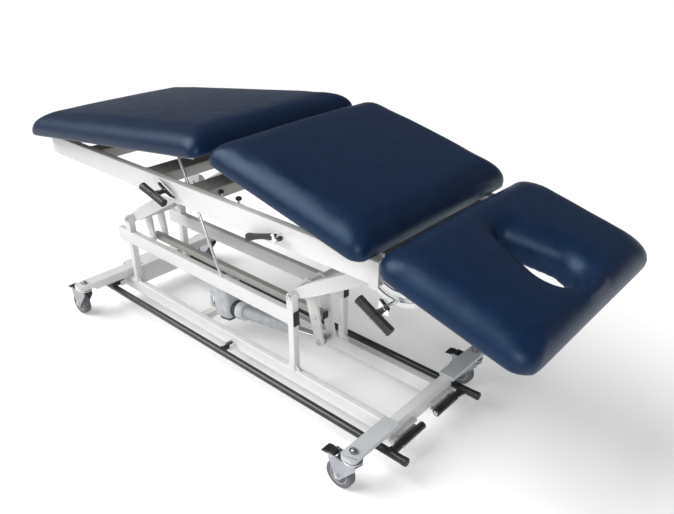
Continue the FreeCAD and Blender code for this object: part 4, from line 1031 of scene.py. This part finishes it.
class TABLE_OT_top_frame(bpy.types.Operator):
    """Side rails and cross-members of the top frame with weld beads"""
    bl_idname = "table.top_frame"
    bl_label = "Top frame"

    def execute(self, context):
        sizes = context.scene.table_frame
        white = finish("frame_coat")
        low, high = node_box("top_side_rails")
        middle = high[1] - sizes.tube / 2
        z = (low[2] + high[2]) / 2
        surfaces = []
        for y in (-middle, middle):
            start, end = place(low[0], y, z), place(high[0], y, z)
            surfaces.append((hollow_tube(start, end, sizes.tube, high[2] - low[2], sizes), 0))
        piece("top_rails_tube", "top_frame", surfaces, [white], ("top_side_rails",))
        shift = high[0] - RAIL_END_X
        inner = high[1] - sizes.tube
        surfaces = []
        cross = ((-0.915, -0.880, 0.684, 0.720), (-0.710, -0.640, 0.684, 0.720),
                 (-0.375, -0.285, 0.684, 0.720), (-0.150, -0.066, 0.684, 0.720),
                 (0.398, 0.434, 0.684, 0.720), (0.515, 0.550, 0.670, 0.700))
        for x0, x1, z0, z1 in cross:
            x, zc = (x0 + x1) / 2 + shift, (z0 + z1) / 2
            start, end = place(x, -inner, zc), place(x, inner, zc)
            surfaces.append((hollow_tube(start, end, x1 - x0, z1 - z0, sizes, ALONG_X), 0))
            for y in (-inner + 0.0005, inner - 0.0005):
                bead = bead_round(x1 - x0, z1 - z0, place(x, y, zc), ALONG_X, ALONG_Z, sizes.bead)
                surfaces.append((bead, 0))
        # The top cross-members get the darker coat that paints the shade under the cushions
        piece("top_cross_tube", "top_frame", surfaces, [finish("inner_coat")], ("top_crossmembers",))
        softened("top_pivot_lugs", "top_frame", white, 0.0010)
        softened("frame_hinge_ears", "top_frame", white, 0.0010)
        softened("head_lock_quadrant", "top_frame", finish("zinc"), 0.0009)
        softened("foot_lock_clutch", "top_frame", finish("plastic"), 0.0010)
        return {"FINISHED"}


class TABLE_OT_bumpers(bpy.types.Operator):
    """Mushroom bumpers on their brackets"""
    bl_idname = "table.bumpers"
    bl_label = "Bumpers"

    def execute(self, context):
        low, high = node_box("rest_bumpers")
        surfaces = []
        top = high[2]
        for x in (low[0] + 0.012, high[0] - 0.012):
            for side in (-1, 1):
                foot = place(x, side * BUMPER_Y, top - 0.026)
                shelf = place(x, side * 0.222, top - 0.0275)
                surfaces.append((solid_bar(shelf, place(x, side * 0.2548, top - 0.0275), 0.024, 0.003, 0.0012,
                                           0.0004, ALONG_X), 1))
                stem = [(0.004, 0.0), (0.004, 0.016), (0.0045, 0.0165)]
                surfaces.append((lathe(stem, foot, ALONG_Z, 24), 2))
                cap = [(0.0048, 0.0158), (0.0078, 0.0164), (0.009, 0.0185), (0.009, 0.0212), (0.0082, 0.0237),
                       (0.0060, 0.0253), (0.003, 0.0259), (0.0002, 0.026)]
                surfaces.append((lathe(cap, foot, ALONG_Z, 36), 0))
        finishes = [finish("rubber"), finish("frame_coat"), finish("zinc")]
        piece("rest_bumpers_moulded", "top_frame", surfaces, finishes, ("rest_bumpers",))
        return {"FINISHED"}


class TABLE_OT_props(bpy.types.Operator):
    """Prop rod of the foot section and gas spring of the middle section"""
    bl_idname = "table.props"
    bl_label = "Prop rod and gas spring"

    def execute(self, context):
        axis = unit(JOINTS["foot_prop_slide"]["axis"])
        low, high = node_box("foot_prop_rod")
        top = place(low[0] + PROP_EYE, PROP_Y, high[2] - PROP_EYE)
        shaft = rounded_bar(0.403, 0.0045, 0.002)
        eye = [(0.0048, -0.006), (0.0068, -0.0056), (0.007, -0.0048), (0.007, 0.0048), (0.0068, 0.0056),
               (0.0048, 0.006)]
        surfaces = [(lathe(shaft, top, -axis, 32), 0), (lathe(eye, top, ALONG_Y, 32), 0)]
        start = top - ALONG_Y * 0.007
        surfaces.append((lathe(rounded_bar(0.027, 0.004, 0.0008), start, ALONG_Y, 24), 1))
        ring = [(0.0046, 0), (0.0062, 0.0008), (0.0062, 0.0072), (0.0046, 0.008)]
        surfaces.append((lathe(ring, top - axis * 0.388, -axis, 28), 1))
        piece("foot_prop_drawn", "foot_prop", surfaces, [finish("steel"), finish("zinc")],
              ("foot_prop_rod",))

        foot = pivot("gas_spring_swing")
        along = unit(JOINTS["gas_spring_stroke"]["axis"])
        low, high = node_box("gas_spring_rod")
        span = self.spring_span(foot, along, low, high)
        body = span * 0.62
        barrel = [(0.0085, 0.012), (0.0108, 0.014), (0.011, 0.017), (0.011, body - 0.010),
                  (0.0106, body - 0.008), (0.0106, body - 0.006), (0.011, body - 0.004),
                  (0.0095, body - 0.0005), (0.0046, body)]
        neck = [(0.006, 0.004), (0.0065, 0.012), (0.0065, 0.0135)]
        joint = [(0.0055, -0.009), (0.0086, -0.0084), (0.009, -0.0075), (0.009, 0.0075), (0.0086, 0.0084),
                 (0.0055, 0.009)]
        surfaces = [(lathe(barrel, foot, along, 44), 0), (lathe(neck, foot, along, 28), 1),
                    (lathe(joint, foot, ALONG_Y, 32), 1),
                    (lathe(rounded_bar(0.040, 0.0039, 0.0008), foot - ALONG_Y * 0.020, ALONG_Y, 24), 1)]
        piece("gas_spring_barrel", "gas_spring_cylinder", surfaces, [finish("spring_black"), finish("zinc")],
              ("gas_spring_cylinder",))
        tip = foot + along * span
        eye = [(0.0052, -0.007), (0.0077, -0.0065), (0.008, -0.0055), (0.008, 0.0055), (0.0077, 0.0065),
               (0.0052, 0.007)]
        surfaces = [(lathe(rounded_bar(span - 0.066, 0.004, 0.0008), foot + along * 0.060, along, 28), 0),
                    (lathe(eye, tip, ALONG_Y, 32), 1),
                    (lathe(rounded_bar(0.030, 0.004, 0.0008), tip - ALONG_Y * 0.015, ALONG_Y, 24), 1)]
        piece("gas_spring_piston", "gas_spring_rod", surfaces, [finish("chrome"), finish("zinc")],
              ("gas_spring_rod",))
        return {"FINISHED"}

    def spring_span(self, foot, along, low, high):
        """Distance from the lower pin to the upper eye, whose rim of 8 mm touches the rod's box."""
        edge = high[2] if along[2] > abs(along[0]) else low[0]
        if along[2] > abs(along[0]):
            return (edge - 0.008 - foot[2]) / along[2]
        return (edge + 0.008 - foot[0]) / along[0]


class TABLE_OT_handles(bpy.types.Operator):
    """Cross grips of the foot and head locks and the paddle of the gas spring"""
    bl_idname = "table.handles"
    bl_label = "Release handles"

    def grip(self, centre, slope, controls, shaft_end):
        """Grip: r = R (0.93 + 0.07 |t|^3 + 0.012 cos 26t) along t from -1 to 1.
        It has flared ends and shallow rings. The last 7% of each half closes as a quarter ellipse."""
        along = place(cos(slope), 0, sin(slope))
        half = controls.grip_length / 2
        t = np.linspace(-1, 1, 61)
        end = np.sqrt(np.clip(1 - np.clip((np.abs(t) - 0.93) / 0.07, 0, 1) ** 2, 0.0004, 1))
        radius = controls.grip_radius * (0.93 + 0.07 * np.abs(t) ** 3 + 0.012 * np.cos(t * 26)) * end
        surfaces = [(lathe(np.stack([radius, t * half], 1), centre, along, 40), 0)]
        hub = [(0.0068, 0.030), (0.0078, 0.024), (0.0098, 0.010), (0.0105, 0.0), (0.0100, -0.008),
               (0.0070, -0.0102), (0.0002, -0.0104)]
        surfaces.append((lathe(hub, centre, ALONG_Y, 36), 0))
        dot = [(0.0042, 0), (0.0042, 0.0012), (0.0030, 0.0019), (0.0002, 0.002)]
        surfaces.append((lathe(dot, centre - ALONG_Y * 0.0098, -ALONG_Y, 28), 1))
        shaft = rounded_bar(shaft_end - centre[1] - 0.004, 0.006, 0.001)
        surfaces.append((lathe(shaft, centre + ALONG_Y * 0.004, ALONG_Y, 28), 1))
        return surfaces

    def execute(self, context):
        controls = context.scene.table_controls
        finishes = [finish("plastic"), finish("chrome")]
        for node, body, joint, slope in (
                ("foot_release_handle", "foot_handle", "foot_handle_turn", controls.foot_grip_slope),
                ("head_release_handle", "head_handle", "head_handle_turn", controls.head_grip_slope)):
            centre = pivot(joint)
            surfaces = self.grip(centre, slope, controls, node_box(node)[1][1])
            if node == "foot_release_handle":
                outline = [(-0.010, 0.040), (0.004, 0.044), (0.078, 0.006), (0.074, -0.004),
                           (0.010, -0.010), (-0.012, -0.006)]
                blade = slab(outline[::-1], 0.0026, centre + place(0, 0.0285, 0), ALONG_X, ALONG_Z, 0.0006)
                surfaces.append((blade, 1))
            else:
                outline = [(-0.016, -0.012), (0.016, -0.012), (0.020, 0.010), (0.006, 0.030), (-0.012, 0.026)]
                blade = slab(outline, 0.0026, centre + place(0, 0.034, 0), ALONG_X, ALONG_Z, 0.0006)
                surfaces.append((blade, 1))
            piece(node + "_moulded", body, surfaces, finishes, (node,))
        centre = pivot("mid_handle_lift")
        t = np.linspace(0, 1, 30)
        x = 0.006 - 0.118 * t
        z = 0.003 - 0.036 * t ** 1.35
        width = ((0.0125 - 0.006 * np.sin(pi * t) ** 0.8 + 0.003 * t)
                 * np.sqrt(np.clip(1 - (2 * t - 1) ** 14, 0.0009, 1)))
        depth = np.full_like(t, 0.0145) * np.sqrt(np.clip(1 - (2 * t - 1) ** 14, 0.0009, 1))
        rows = [rounded_rectangle(d, 2 * w, min(d, 2 * w) * 0.42) for d, w in zip(depth, width)]
        y = node_box("mid_release_handle")[0][1] + 0.0075
        centres = np.stack([centre[0] + x, np.full_like(x, y), centre[2] + z], 1)
        paddle = sheet_of(carried(rows, centres, ALONG_Y, ALONG_Z), caps=True)
        knob = [(0.0002, -0.0075), (0.004, -0.0072), (0.0066, -0.004), (0.0072, 0), (0.0066, 0.004),
                (0.004, 0.0072), (0.0002, 0.0075)]
        surfaces = [(paddle, 0), (lathe(knob, centre + place(0.022, y - centre[1], 0.006), ALONG_Y, 32), 0)]
        hub = [(0.0110, -0.0155), (0.0128, -0.014), (0.013, 0.004), (0.0115, 0.0135), (0.0075, 0.0145)]
        surfaces.append((lathe(hub, place(centre[0], y + 0.009, centre[2]), ALONG_Y, 36), 1))
        end = node_box("mid_release_handle")[1][1]
        surfaces.append((lathe(rounded_bar(end - y, 0.006, 0.001), place(centre[0], y, centre[2]),
                               ALONG_Y, 28), 1))
        piece("mid_release_handle_moulded", "mid_handle", surfaces, finishes, ("mid_release_handle",))
        return {"FINISHED"}


class TABLE_OT_casters(bpy.types.Operator):
    """Four casters: fork with bearing, wheel with hub, and ribbed brake pedal"""
    bl_idname = "table.casters"
    bl_label = "Casters"

    def wheel(self, centre, sizes):
        """Tyre: flat tread with shoulders r = R - 6 mm (1 - sin a) and slightly hollow sides.
        Hub: dished disc with a boss."""
        radius, half = sizes.wheel_radius, sizes.wheel_width / 2
        t = np.linspace(0, pi / 2, 7)
        shoulder = np.stack([radius - 0.006 * (1 - np.sin(t)), -half + 0.006 * (1 - np.cos(t))], 1)
        side = [(0.0305, -half + 0.0022), (0.0312, -half + 0.0006), (0.0335, -half), (0.037, -half + 0.0008)]
        left = np.vstack([side, shoulder])
        crown = [(radius, -0.004), (radius, 0.004)]
        tyre = np.vstack([left, crown, left[::-1] * (1, -1)])
        hub_half = [(0.0042, -half + 0.0036), (0.0085, -half + 0.0036), (0.0092, -half + 0.0042),
                    (0.0105, -half + 0.0075), (0.021, -half + 0.0085), (0.0245, -half + 0.0045),
                    (0.0262, -half + 0.0024), (0.0300, -half + 0.0020), (0.0306, -half + 0.0026)]
        hub = np.vstack([hub_half, np.array(hub_half)[::-1] * (1, -1)])
        surfaces = [(lathe(tyre, centre, ALONG_Y, 72), 0), (lathe(hub, centre, ALONG_Y, 60), 1)]
        for k in range(6):
            a = k * pi / 3 + 0.3
            out = place(cos(a), 0, sin(a))
            for side_y in (-1, 1):
                start = centre + out * 0.0095 + ALONG_Y * side_y * (half - 0.0068)
                rib = solid_bar(start, start + out * 0.0155, 0.0042, 0.0030, 0.001, 0.0006)
                surfaces.append((rib, 1))
        return surfaces

    def pedal(self, hinge, sizes):
        """Tab: height falls from the hinge to the tip as a line plus 2 mm sin(pi t).
        Width grows by half a cosine wave, and the tip closes as a quarter ellipse."""
        t = np.linspace(0, 1, 24)
        x = 0.004 - 0.041 * t
        z = 0.0035 - 0.0035 * t + 0.002 * np.sin(pi * t)
        width = (0.013 + 0.005 * (1 - np.cos(pi * np.clip(t * 1.6, 0, 1))) / 2) * 2
        thick = (0.0085 - 0.0030 * t) * np.sqrt(np.clip(1 - np.clip((t - 0.93) / 0.07, 0, 1) ** 2, 0.02, 1))
        rows = [rounded_rectangle(w, h, h * 0.45) for w, h in zip(width, thick)]
        centres = np.stack([hinge[0] + x, np.full_like(x, hinge[1]), hinge[2] + z], 1)
        surfaces = [(sheet_of(carried(rows, centres, ALONG_Y, ALONG_Z), caps=True), 0)]
        for k in range(sizes.tread_lines):
            row = 0.45 + 0.12 * k
            centre = place(hinge[0] + 0.004 - 0.041 * row, hinge[1], hinge[2] + 0.0035 - 0.0035 * row
                           + 0.002 * sin(pi * row) + (0.0085 - 0.003 * row) / 2)
            start, end = centre - ALONG_Y * 0.0145, centre + ALONG_Y * 0.0145
            surfaces.append((solid_bar(start, end, 0.0022, 0.0020, 0.0007, 0.0006, ALONG_X), 0))
        surfaces.append((lathe(rounded_bar(0.026, 0.0065, 0.001), hinge - ALONG_Y * 0.013, ALONG_Y, 32), 0))
        pin = rounded_bar(0.037, 0.004, 0.0006)
        surfaces.append((lathe(pin, hinge - ALONG_Y * 0.0185, ALONG_Y, 24), 1))
        return surfaces

    def execute(self, context):
        sizes = context.scene.table_casters
        for corner in ("near_head", "far_head", "near_foot", "far_foot"):
            stem = pivot("swivel_" + corner)
            axle = pivot("roll_" + corner)
            fork = "caster_fork_" + corner
            softened(fork, fork, finish("fork_plate"), 0.0009)
            surfaces = []
            for side in (-1, 1):
                face = axle + ALONG_Y * side * 0.0185
                surfaces += [(part, 0) for part in bolt(face, ALONG_Y * side, 0.0038, 0.0052, 0.0066, 0)]
            race = [(0.0215, 0.0), (0.0228, 0.0006), (0.0228, 0.0012), (0.0218, 0.0020), (0.0195, 0.0026)]
            surfaces.append((lathe(race, place(stem[0], stem[1], 0.1241), ALONG_Z, 48), 0))
            skirt = [(0.0272, 0.0), (0.0278, 0.001), (0.0278, 0.0032), (0.0265, 0.0042), (0.022, 0.0046)]
            surfaces.append((lathe(skirt, place(stem[0], stem[1], 0.1196), ALONG_Z, 48), 0))
            top = node_box(fork)[1][2]
            dome = [(0.0062, 0.0), (0.0058, 0.0016), (0.0040, 0.0026), (0.0002, 0.0030)]
            surfaces.append((lathe(dome, place(stem[0], stem[1], top), ALONG_Z, 32), 0))
            piece("caster_fittings_" + corner, fork, surfaces, [finish("zinc")])
            wheel = "caster_wheel_" + corner
            piece(wheel + "_moulded", wheel, self.wheel(axle, sizes), [finish("tyre"), finish("hub")],
                  (wheel,))
            pedal = "caster_pedal_" + corner
            hinge = pivot("brake_" + corner)
            piece(pedal + "_moulded", pedal, self.pedal(hinge, sizes), [finish("plastic"), finish("zinc")],
                  (pedal,))
        return {"FINISHED"}


class TABLE_OT_section_fittings(bpy.types.Operator):
    """Boards under the cushions and the brackets on them"""
    bl_idname = "table.section_fittings"
    bl_label = "Boards and brackets"

    def execute(self, context):
        # The boards get the near-black finish that paints the shade in the gaps between the cushions
        coated(finish("board"), "foot_board", "mid_board", "head_board")
        softened("foot_brackets", "foot_section", finish("frame_coat"), 0.0008)
        softened("mid_brackets", "mid_section", finish("frame_coat"), 0.0008)
        softened("head_brackets", "head_section", finish("frame_coat"), 0.0008)
        return {"FINISHED"}


# Upholstery

def even_outline(x0, x1, half, corner, count):
    """Rounded rectangle walked at even steps: straight runs and quarter circles, resampled by arc length."""
    width, depth = x1 - x0, 2 * half
    dense = rounded_rectangle(width, depth, corner, 24) + place((x0 + x1) / 2, 0)
    dense = np.vstack([dense, dense[:1]])
    run = np.concatenate([[0], np.cumsum(np.linalg.norm(np.diff(dense, axis=0), axis=1))])
    s = np.linspace(0, run[-1], count, endpoint=False)
    return np.stack([np.interp(s, run, dense[:, 0]), np.interp(s, run, dense[:, 1])], 1)


def teardrop(centre, radius, tip, tip_radius, toward):
    """Outline of the face opening and its outward normals.
    A large and a small arc are joined by their common tangents. Each point is its arc's centre plus
    (cos a, sin a) times its radius. It is walked at even steps, starting in the direction of the first
    point of toward and turning the same way round."""
    lean = np.arcsin((radius - tip_radius) / (centre - tip))
    angle = np.concatenate([np.linspace(-pi / 2 - lean, pi / 2 + lean, 200),
                            np.linspace(pi / 2 + lean, 3 * pi / 2 - lean, 80)])
    large = np.arange(280) < 200
    normal = np.stack([np.cos(angle), np.sin(angle)], 1)
    dense = normal * np.where(large, radius, tip_radius)[:, None]
    dense[:, 0] += np.where(large, centre, tip)
    dense, normal = np.vstack([dense, dense[:1]]), np.vstack([normal, normal[:1]])
    run = np.concatenate([[0], np.cumsum(np.linalg.norm(np.diff(dense, axis=0), axis=1))])
    heading = np.exp(1j * np.arctan2(dense[:, 1], dense[:, 0] - centre))
    first = np.exp(1j * np.arctan2(toward[0, 1], toward[0, 0] - centre))
    after = np.roll(toward, -1, axis=0)
    turn = np.sign(np.sum(toward[:, 0] * after[:, 1] - toward[:, 1] * after[:, 0]))
    start = run[np.argmin(np.abs(heading - first))]
    s = (start + turn * np.linspace(0, run[-1], len(toward), endpoint=False)) % run[-1]
    walk = [np.interp(s, run, column) for column in (*dense.T, *normal.T)]
    return np.stack(walk[:2], 1), np.stack(walk[2:], 1)


def cushion_form(x0, x1, half, rounding, sizes, hole=None, count=220):
    """Rows of rings from the underside round the lower roll, up the side, over the top roll and inwards.
    The top roll is a quarter ellipse: inset r (1 - cos a), height h sin a. Its corners grow by 0.45 of the
    inset. Crown: z + c (1 - X^2)(1 - Y^2), X and Y from -1 to 1 across the cushion. Without a hole the
    rings close on the middle. With one they roll down its wall and wrap under the board."""
    slack = sizes.slack
    bottom, top = sizes.seat + 0.0005, sizes.seat + sizes.foam - slack
    under, roll = sizes.under_roll, sizes.roll
    waist = bottom + under + 0.012
    rings = []

    def ring(inset, z):
        d = slack + inset
        corner = rounding + 0.45 * inset
        flat = even_outline(x0 + d, x1 - d, half - d, corner, count)
        rings.append(np.column_stack([flat, np.full(count, z)]))

    for a in np.linspace(0, pi / 2, 5):
        ring(under * (1 - sin(a)), bottom + under * (1 - cos(a)))
    for a in np.linspace(0, pi / 2, 16):
        ring(roll * (1 - cos(a)), waist + (top - waist) * sin(a))
    last = rings[-1][:, :2]
    if hole is None:
        centre = place((x0 + x1) / 2, 0)
        inner = centre + (last - centre) * 0.01
        lip = []
    else:
        hole_edge, outwards = teardrop(*hole, last)
        inner = hole_edge + outwards * sizes.lip
        drop = DROP_OF_LIP
        lip = [(sizes.lip * (1 - sin(a)), top - drop * (1 - cos(a))) for a in np.linspace(0, pi / 2, 12)[1:]]
        below = sizes.seat - LEVEL_OF_WRAP
        lip += [(-LEAN_OF_WALL * t, top - drop + (below + drop - top) * t) for t in (0.3, 0.65, 1.0)]
        lip += [(0.010, below), (0.010, bottom + 0.002)]
    for t in np.linspace(0, 1, 26)[1:]:
        rings.append(np.column_stack([last + (inner - last) * t, np.full(count, top)]))
    for inset, z in lip:
        rings.append(np.column_stack([hole_edge + outwards * inset, np.full(count, z)]))
    rings = np.array(rings)
    across = (rings[..., 0] - (x0 + x1) / 2) / ((x1 - x0) / 2)
    along = rings[..., 1] / half
    lift = np.clip((rings[..., 2] - bottom) / (top - bottom), 0, 1)
    crown = sizes.crown * (1 - across ** 2) * (1 - along ** 2)
    if hole is not None:
        away = np.hypot(rings[..., 0] - hole[0], rings[..., 1])
        crown = crown * (1 - np.exp(-(away / 0.12) ** 2))
    rings[..., 2] += crown * lift
    return sheet_of(rings, closed_along=hole is not None, caps=hole is None)


def evaluated(made):
    graph = bpy.context.evaluated_depsgraph_get()
    return bpy.data.meshes.new_from_object(made.evaluated_get(graph))


def smoothed(mesh, points, rounds=3):
    """Laplacian rounds: every vertex goes half way to the mean of its neighbours."""
    edges = np.empty(len(mesh.edges) * 2, int)
    mesh.edges.foreach_get("vertices", edges)
    edges = edges.reshape(-1, 2)
    count = np.bincount(edges.reshape(-1), minlength=len(points))[:, None]
    for _ in range(rounds):
        total = np.zeros_like(points)
        for axis in range(3):
            total[:, axis] = np.bincount(edges[:, 0], points[edges[:, 1], axis], len(points))
            total[:, axis] += np.bincount(edges[:, 1], points[edges[:, 0], axis], len(points))
        points = points * 0.5 + total / count * 0.5
    return points


def filled_with_foam(made, sizes, hole):
    """Even mesh, then cloth with inner pressure, held at its underside.
    Its move m is smoothed and limited to m / (1 + |m| / most), and fades out towards the face opening."""
    even = made.modifiers.new("Even mesh", "REMESH")
    even.mode = "VOXEL"
    even.voxel_size = sizes.voxel
    mesh = evaluated(made)
    made.modifiers.remove(even)
    made.data = mesh
    rest = np.empty(len(mesh.vertices) * 3)
    mesh.vertices.foreach_get("co", rest)
    rest = rest.reshape(-1, 3)
    held = made.vertex_groups.new(name="Held at the board")
    held.add(np.flatnonzero(rest[:, 2] < sizes.seat + 0.006).tolist(), 1.0, "REPLACE")
    cloth = made.modifiers.new("Foam", "CLOTH")
    cloth.settings.quality = 4
    cloth.settings.mass = 0.3
    cloth.settings.tension_stiffness = 18
    cloth.settings.compression_stiffness = 18
    cloth.settings.shear_stiffness = 8
    cloth.settings.bending_stiffness = 2.0
    cloth.settings.use_pressure = True
    cloth.settings.uniform_pressure_force = 4.0
    cloth.settings.vertex_group_mass = held.name
    cloth.settings.effector_weights.gravity = 0.0
    cloth.point_cache.frame_start, cloth.point_cache.frame_end = 1, 20
    for step in range(1, 21):
        bpy.context.scene.frame_set(step)
    swollen = evaluated(made)
    made.modifiers.remove(cloth)
    moved = np.empty_like(rest.reshape(-1))
    swollen.vertices.foreach_get("co", moved)
    bpy.data.meshes.remove(swollen)
    move = moved.reshape(-1, 3) - rest
    move = smoothed(mesh, np.nan_to_num(move), 12)
    if hole is not None:
        away = np.hypot(rest[:, 0] - hole[0], rest[:, 1]) - hole[1]
        move *= np.clip(away / 0.07, 0, 1)[:, None]
    most = place(sizes.slack + 0.001, sizes.slack + 0.001, sizes.swell)
    rest = rest + move / (1 + np.abs(move) / most)
    bpy.context.scene.frame_set(1)
    made.vertex_groups.clear()
    return mesh, rest


def cushion(context, name, x0, x1, hole=None):
    """Form, foam, a turn to the section's slope, and one level of subdivision."""
    sizes = context.scene.table_upholstery
    rounding = sizes.head_corner if hole else sizes.corner
    verts, faces = cushion_form(x0, x1, HALF_WIDTH, rounding, sizes, hole)
    mesh = bpy.data.meshes.new(name + "_vinyl")
    mesh.from_pydata(verts.tolist(), [], faces)
    work = bmesh.new()
    work.from_mesh(mesh)
    bmesh.ops.remove_doubles(work, verts=work.verts, dist=1e-5)
    bmesh.ops.recalc_face_normals(work, faces=work.faces)
    work.to_mesh(mesh)
    work.free()
    made = bpy.data.objects.new(name + "_vinyl", mesh)
    context.scene.collection.objects.link(made)
    mesh, points = filled_with_foam(made, sizes, hole)
    points = smoothed(mesh, points)
    section = name.split("_")[0]
    hinge = pivot(section + "_section_tilt") * (1, 0, 1)
    placed = turned_up(points, hinge, radians(SLOPES[section]))
    mesh.vertices.foreach_set("co", placed.reshape(-1))
    mesh.update()
    mesh.shade_smooth()
    mesh.materials.clear()
    mesh.materials.append(finish("vinyl"))
    finer = made.modifiers.new("Finer", "SUBSURF")
    finer.levels = finer.render_levels = 1
    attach(made, name.split("_")[0] + "_section")
    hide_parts(name)
    return made


class TABLE_OT_cushions(bpy.types.Operator):
    """Three upholstered cushions, the last with its face opening"""
    bl_idname = "table.cushions"
    bl_label = "Cushions"

    def execute(self, context):
        cushion(context, "foot_cushion", -0.035, 0.962)
        cushion(context, "mid_cushion", -0.542, 0.011)
        cushion(context, "head_cushion", -0.002, 0.411, hole=(0.273, 0.062, 0.143, 0.020))
        return {"FINISHED"}


# Stage

def light(name, spot, toward, size, power, tint=(1.0, 1.0, 1.0)):
    lamp = bpy.data.lights.new(name, "AREA")
    lamp.shape = "RECTANGLE"
    lamp.size, lamp.size_y = size
    lamp.energy = power
    lamp.color = tint
    made = bpy.data.objects.new(name, lamp)
    bpy.context.scene.collection.objects.link(made)
    made.location = spot
    made.rotation_euler = (Vector(toward) - Vector(spot)).to_track_quat("-Z", "Y").to_euler()
    return made


class TABLE_OT_stage(bpy.types.Operator):
    """Pale floor, soft studio lights, even sky and camera"""
    bl_idname = "table.stage"
    bl_label = "Stage"

    def execute(self, context):
        stage = context.scene.table_stage
        t = np.linspace(-1, 1, 9)
        reach = 30.0
        x, y = np.meshgrid(t * reach, t * reach)
        points = np.stack([x, y, np.zeros_like(x)], -1)
        verts, faces = sheet_of(points, closed_round=False)
        mesh = bpy.data.meshes.new("studio_floor")
        mesh.from_pydata(verts.tolist(), [], faces)
        floor = bpy.data.objects.new("studio_floor", mesh)
        context.scene.collection.objects.link(floor)
        material, tree, shader = new_finish("Studio floor", 0.6, specular=0.2)
        shader.inputs["Base Color"].default_value = (*stage.floor, 1.0)
        shader.inputs["Emission Color"].default_value = (1.0, 1.0, 1.0, 1.0)
        shader.inputs["Emission Strength"].default_value = stage.glow
        mesh.materials.append(material)
        sun = bpy.data.lights.new("Key", "SUN")
        sun.energy, sun.angle = stage.key, radians(50)
        key = bpy.data.objects.new("Key", sun)
        context.scene.collection.objects.link(key)
        key.rotation_euler = Vector((0.52, 0.48, -0.70)).to_track_quat("-Z", "Y").to_euler()
        light("Fill", (2.6, -2.2, 1.9), (0.1, 0.0, 0.6), (1.6, 1.2), stage.fill)
        world = bpy.data.worlds.new("Studio sky")
        context.scene.world = world
        world.use_nodes = True
        background = world.node_tree.nodes["Background"]
        background.inputs["Color"].default_value = (0.95, 0.97, 1.0, 1.0)
        background.inputs["Strength"].default_value = stage.sky
        tree = world.node_tree
        seen = add(tree, "Background", {"Color": (1.0, 1.0, 1.0, 1.0), "Strength": 1.0})
        blend = add(tree, "MixShader", {0: add(tree, "LightPath").outputs["Is Camera Ray"],
                                        1: background.outputs[0], 2: seen.outputs[0]})
        tree.links.new(blend.outputs[0], tree.nodes["World Output"].inputs[0])
        camera = bpy.data.cameras.new("Camera")
        camera.lens, camera.sensor_width = 35.25, 36.0
        eye = bpy.data.objects.new("Camera", camera)
        context.scene.collection.objects.link(eye)
        eye.location = (1.3892, -1.3427, 1.4211)
        eye.rotation_euler = (radians(62.91), 0.0, radians(41.60))
        context.scene.camera = eye
        context.scene.view_settings.view_transform = "Standard"
        return {"FINISHED"}


OPERATORS = (
    TABLE_OT_stage, TABLE_OT_base_rails, TABLE_OT_posts, TABLE_OT_base_plates, TABLE_OT_foot_bars,
    TABLE_OT_hardware, TABLE_OT_linkage, TABLE_OT_actuator, TABLE_OT_top_frame, TABLE_OT_bumpers,
    TABLE_OT_props, TABLE_OT_handles, TABLE_OT_casters, TABLE_OT_section_fittings, TABLE_OT_cushions,
)


class TABLE_PT_sidebar(bpy.types.Panel):
    """Lists the pieces of the table and their sizes and colours"""
    bl_idname = "TABLE_PT_sidebar"
    bl_label = "Treatment table"
    bl_space_type = "VIEW_3D"
    bl_region_type = "UI"
    bl_category = "Treatment table"

    def draw(self, context):
        column = self.layout.column(align=True)
        for operator in OPERATORS:
            column.operator(operator.bl_idname)
        for attribute, group in GROUPS:
            box = self.layout.box()
            box.label(text=attribute.replace("_", " "))
            for name in group.__annotations__:
                box.prop(getattr(context.scene, attribute), name)


CLASSES = tuple(group for _, group in GROUPS) + OPERATORS + (TABLE_PT_sidebar,)


def register():
    for item in CLASSES:
        bpy.utils.register_class(item)
    for attribute, group in GROUPS:
        setattr(bpy.types.Scene, attribute, PointerProperty(type=group))


def unregister():
    for attribute, _ in GROUPS:
        delattr(bpy.types.Scene, attribute)
    for item in reversed(CLASSES):
        bpy.utils.unregister_class(item)


def main():
    register()
    for operator in OPERATORS:
        getattr(bpy.ops.table, operator.bl_idname.split(".")[1])()


if __name__ == "__main__":
    main()
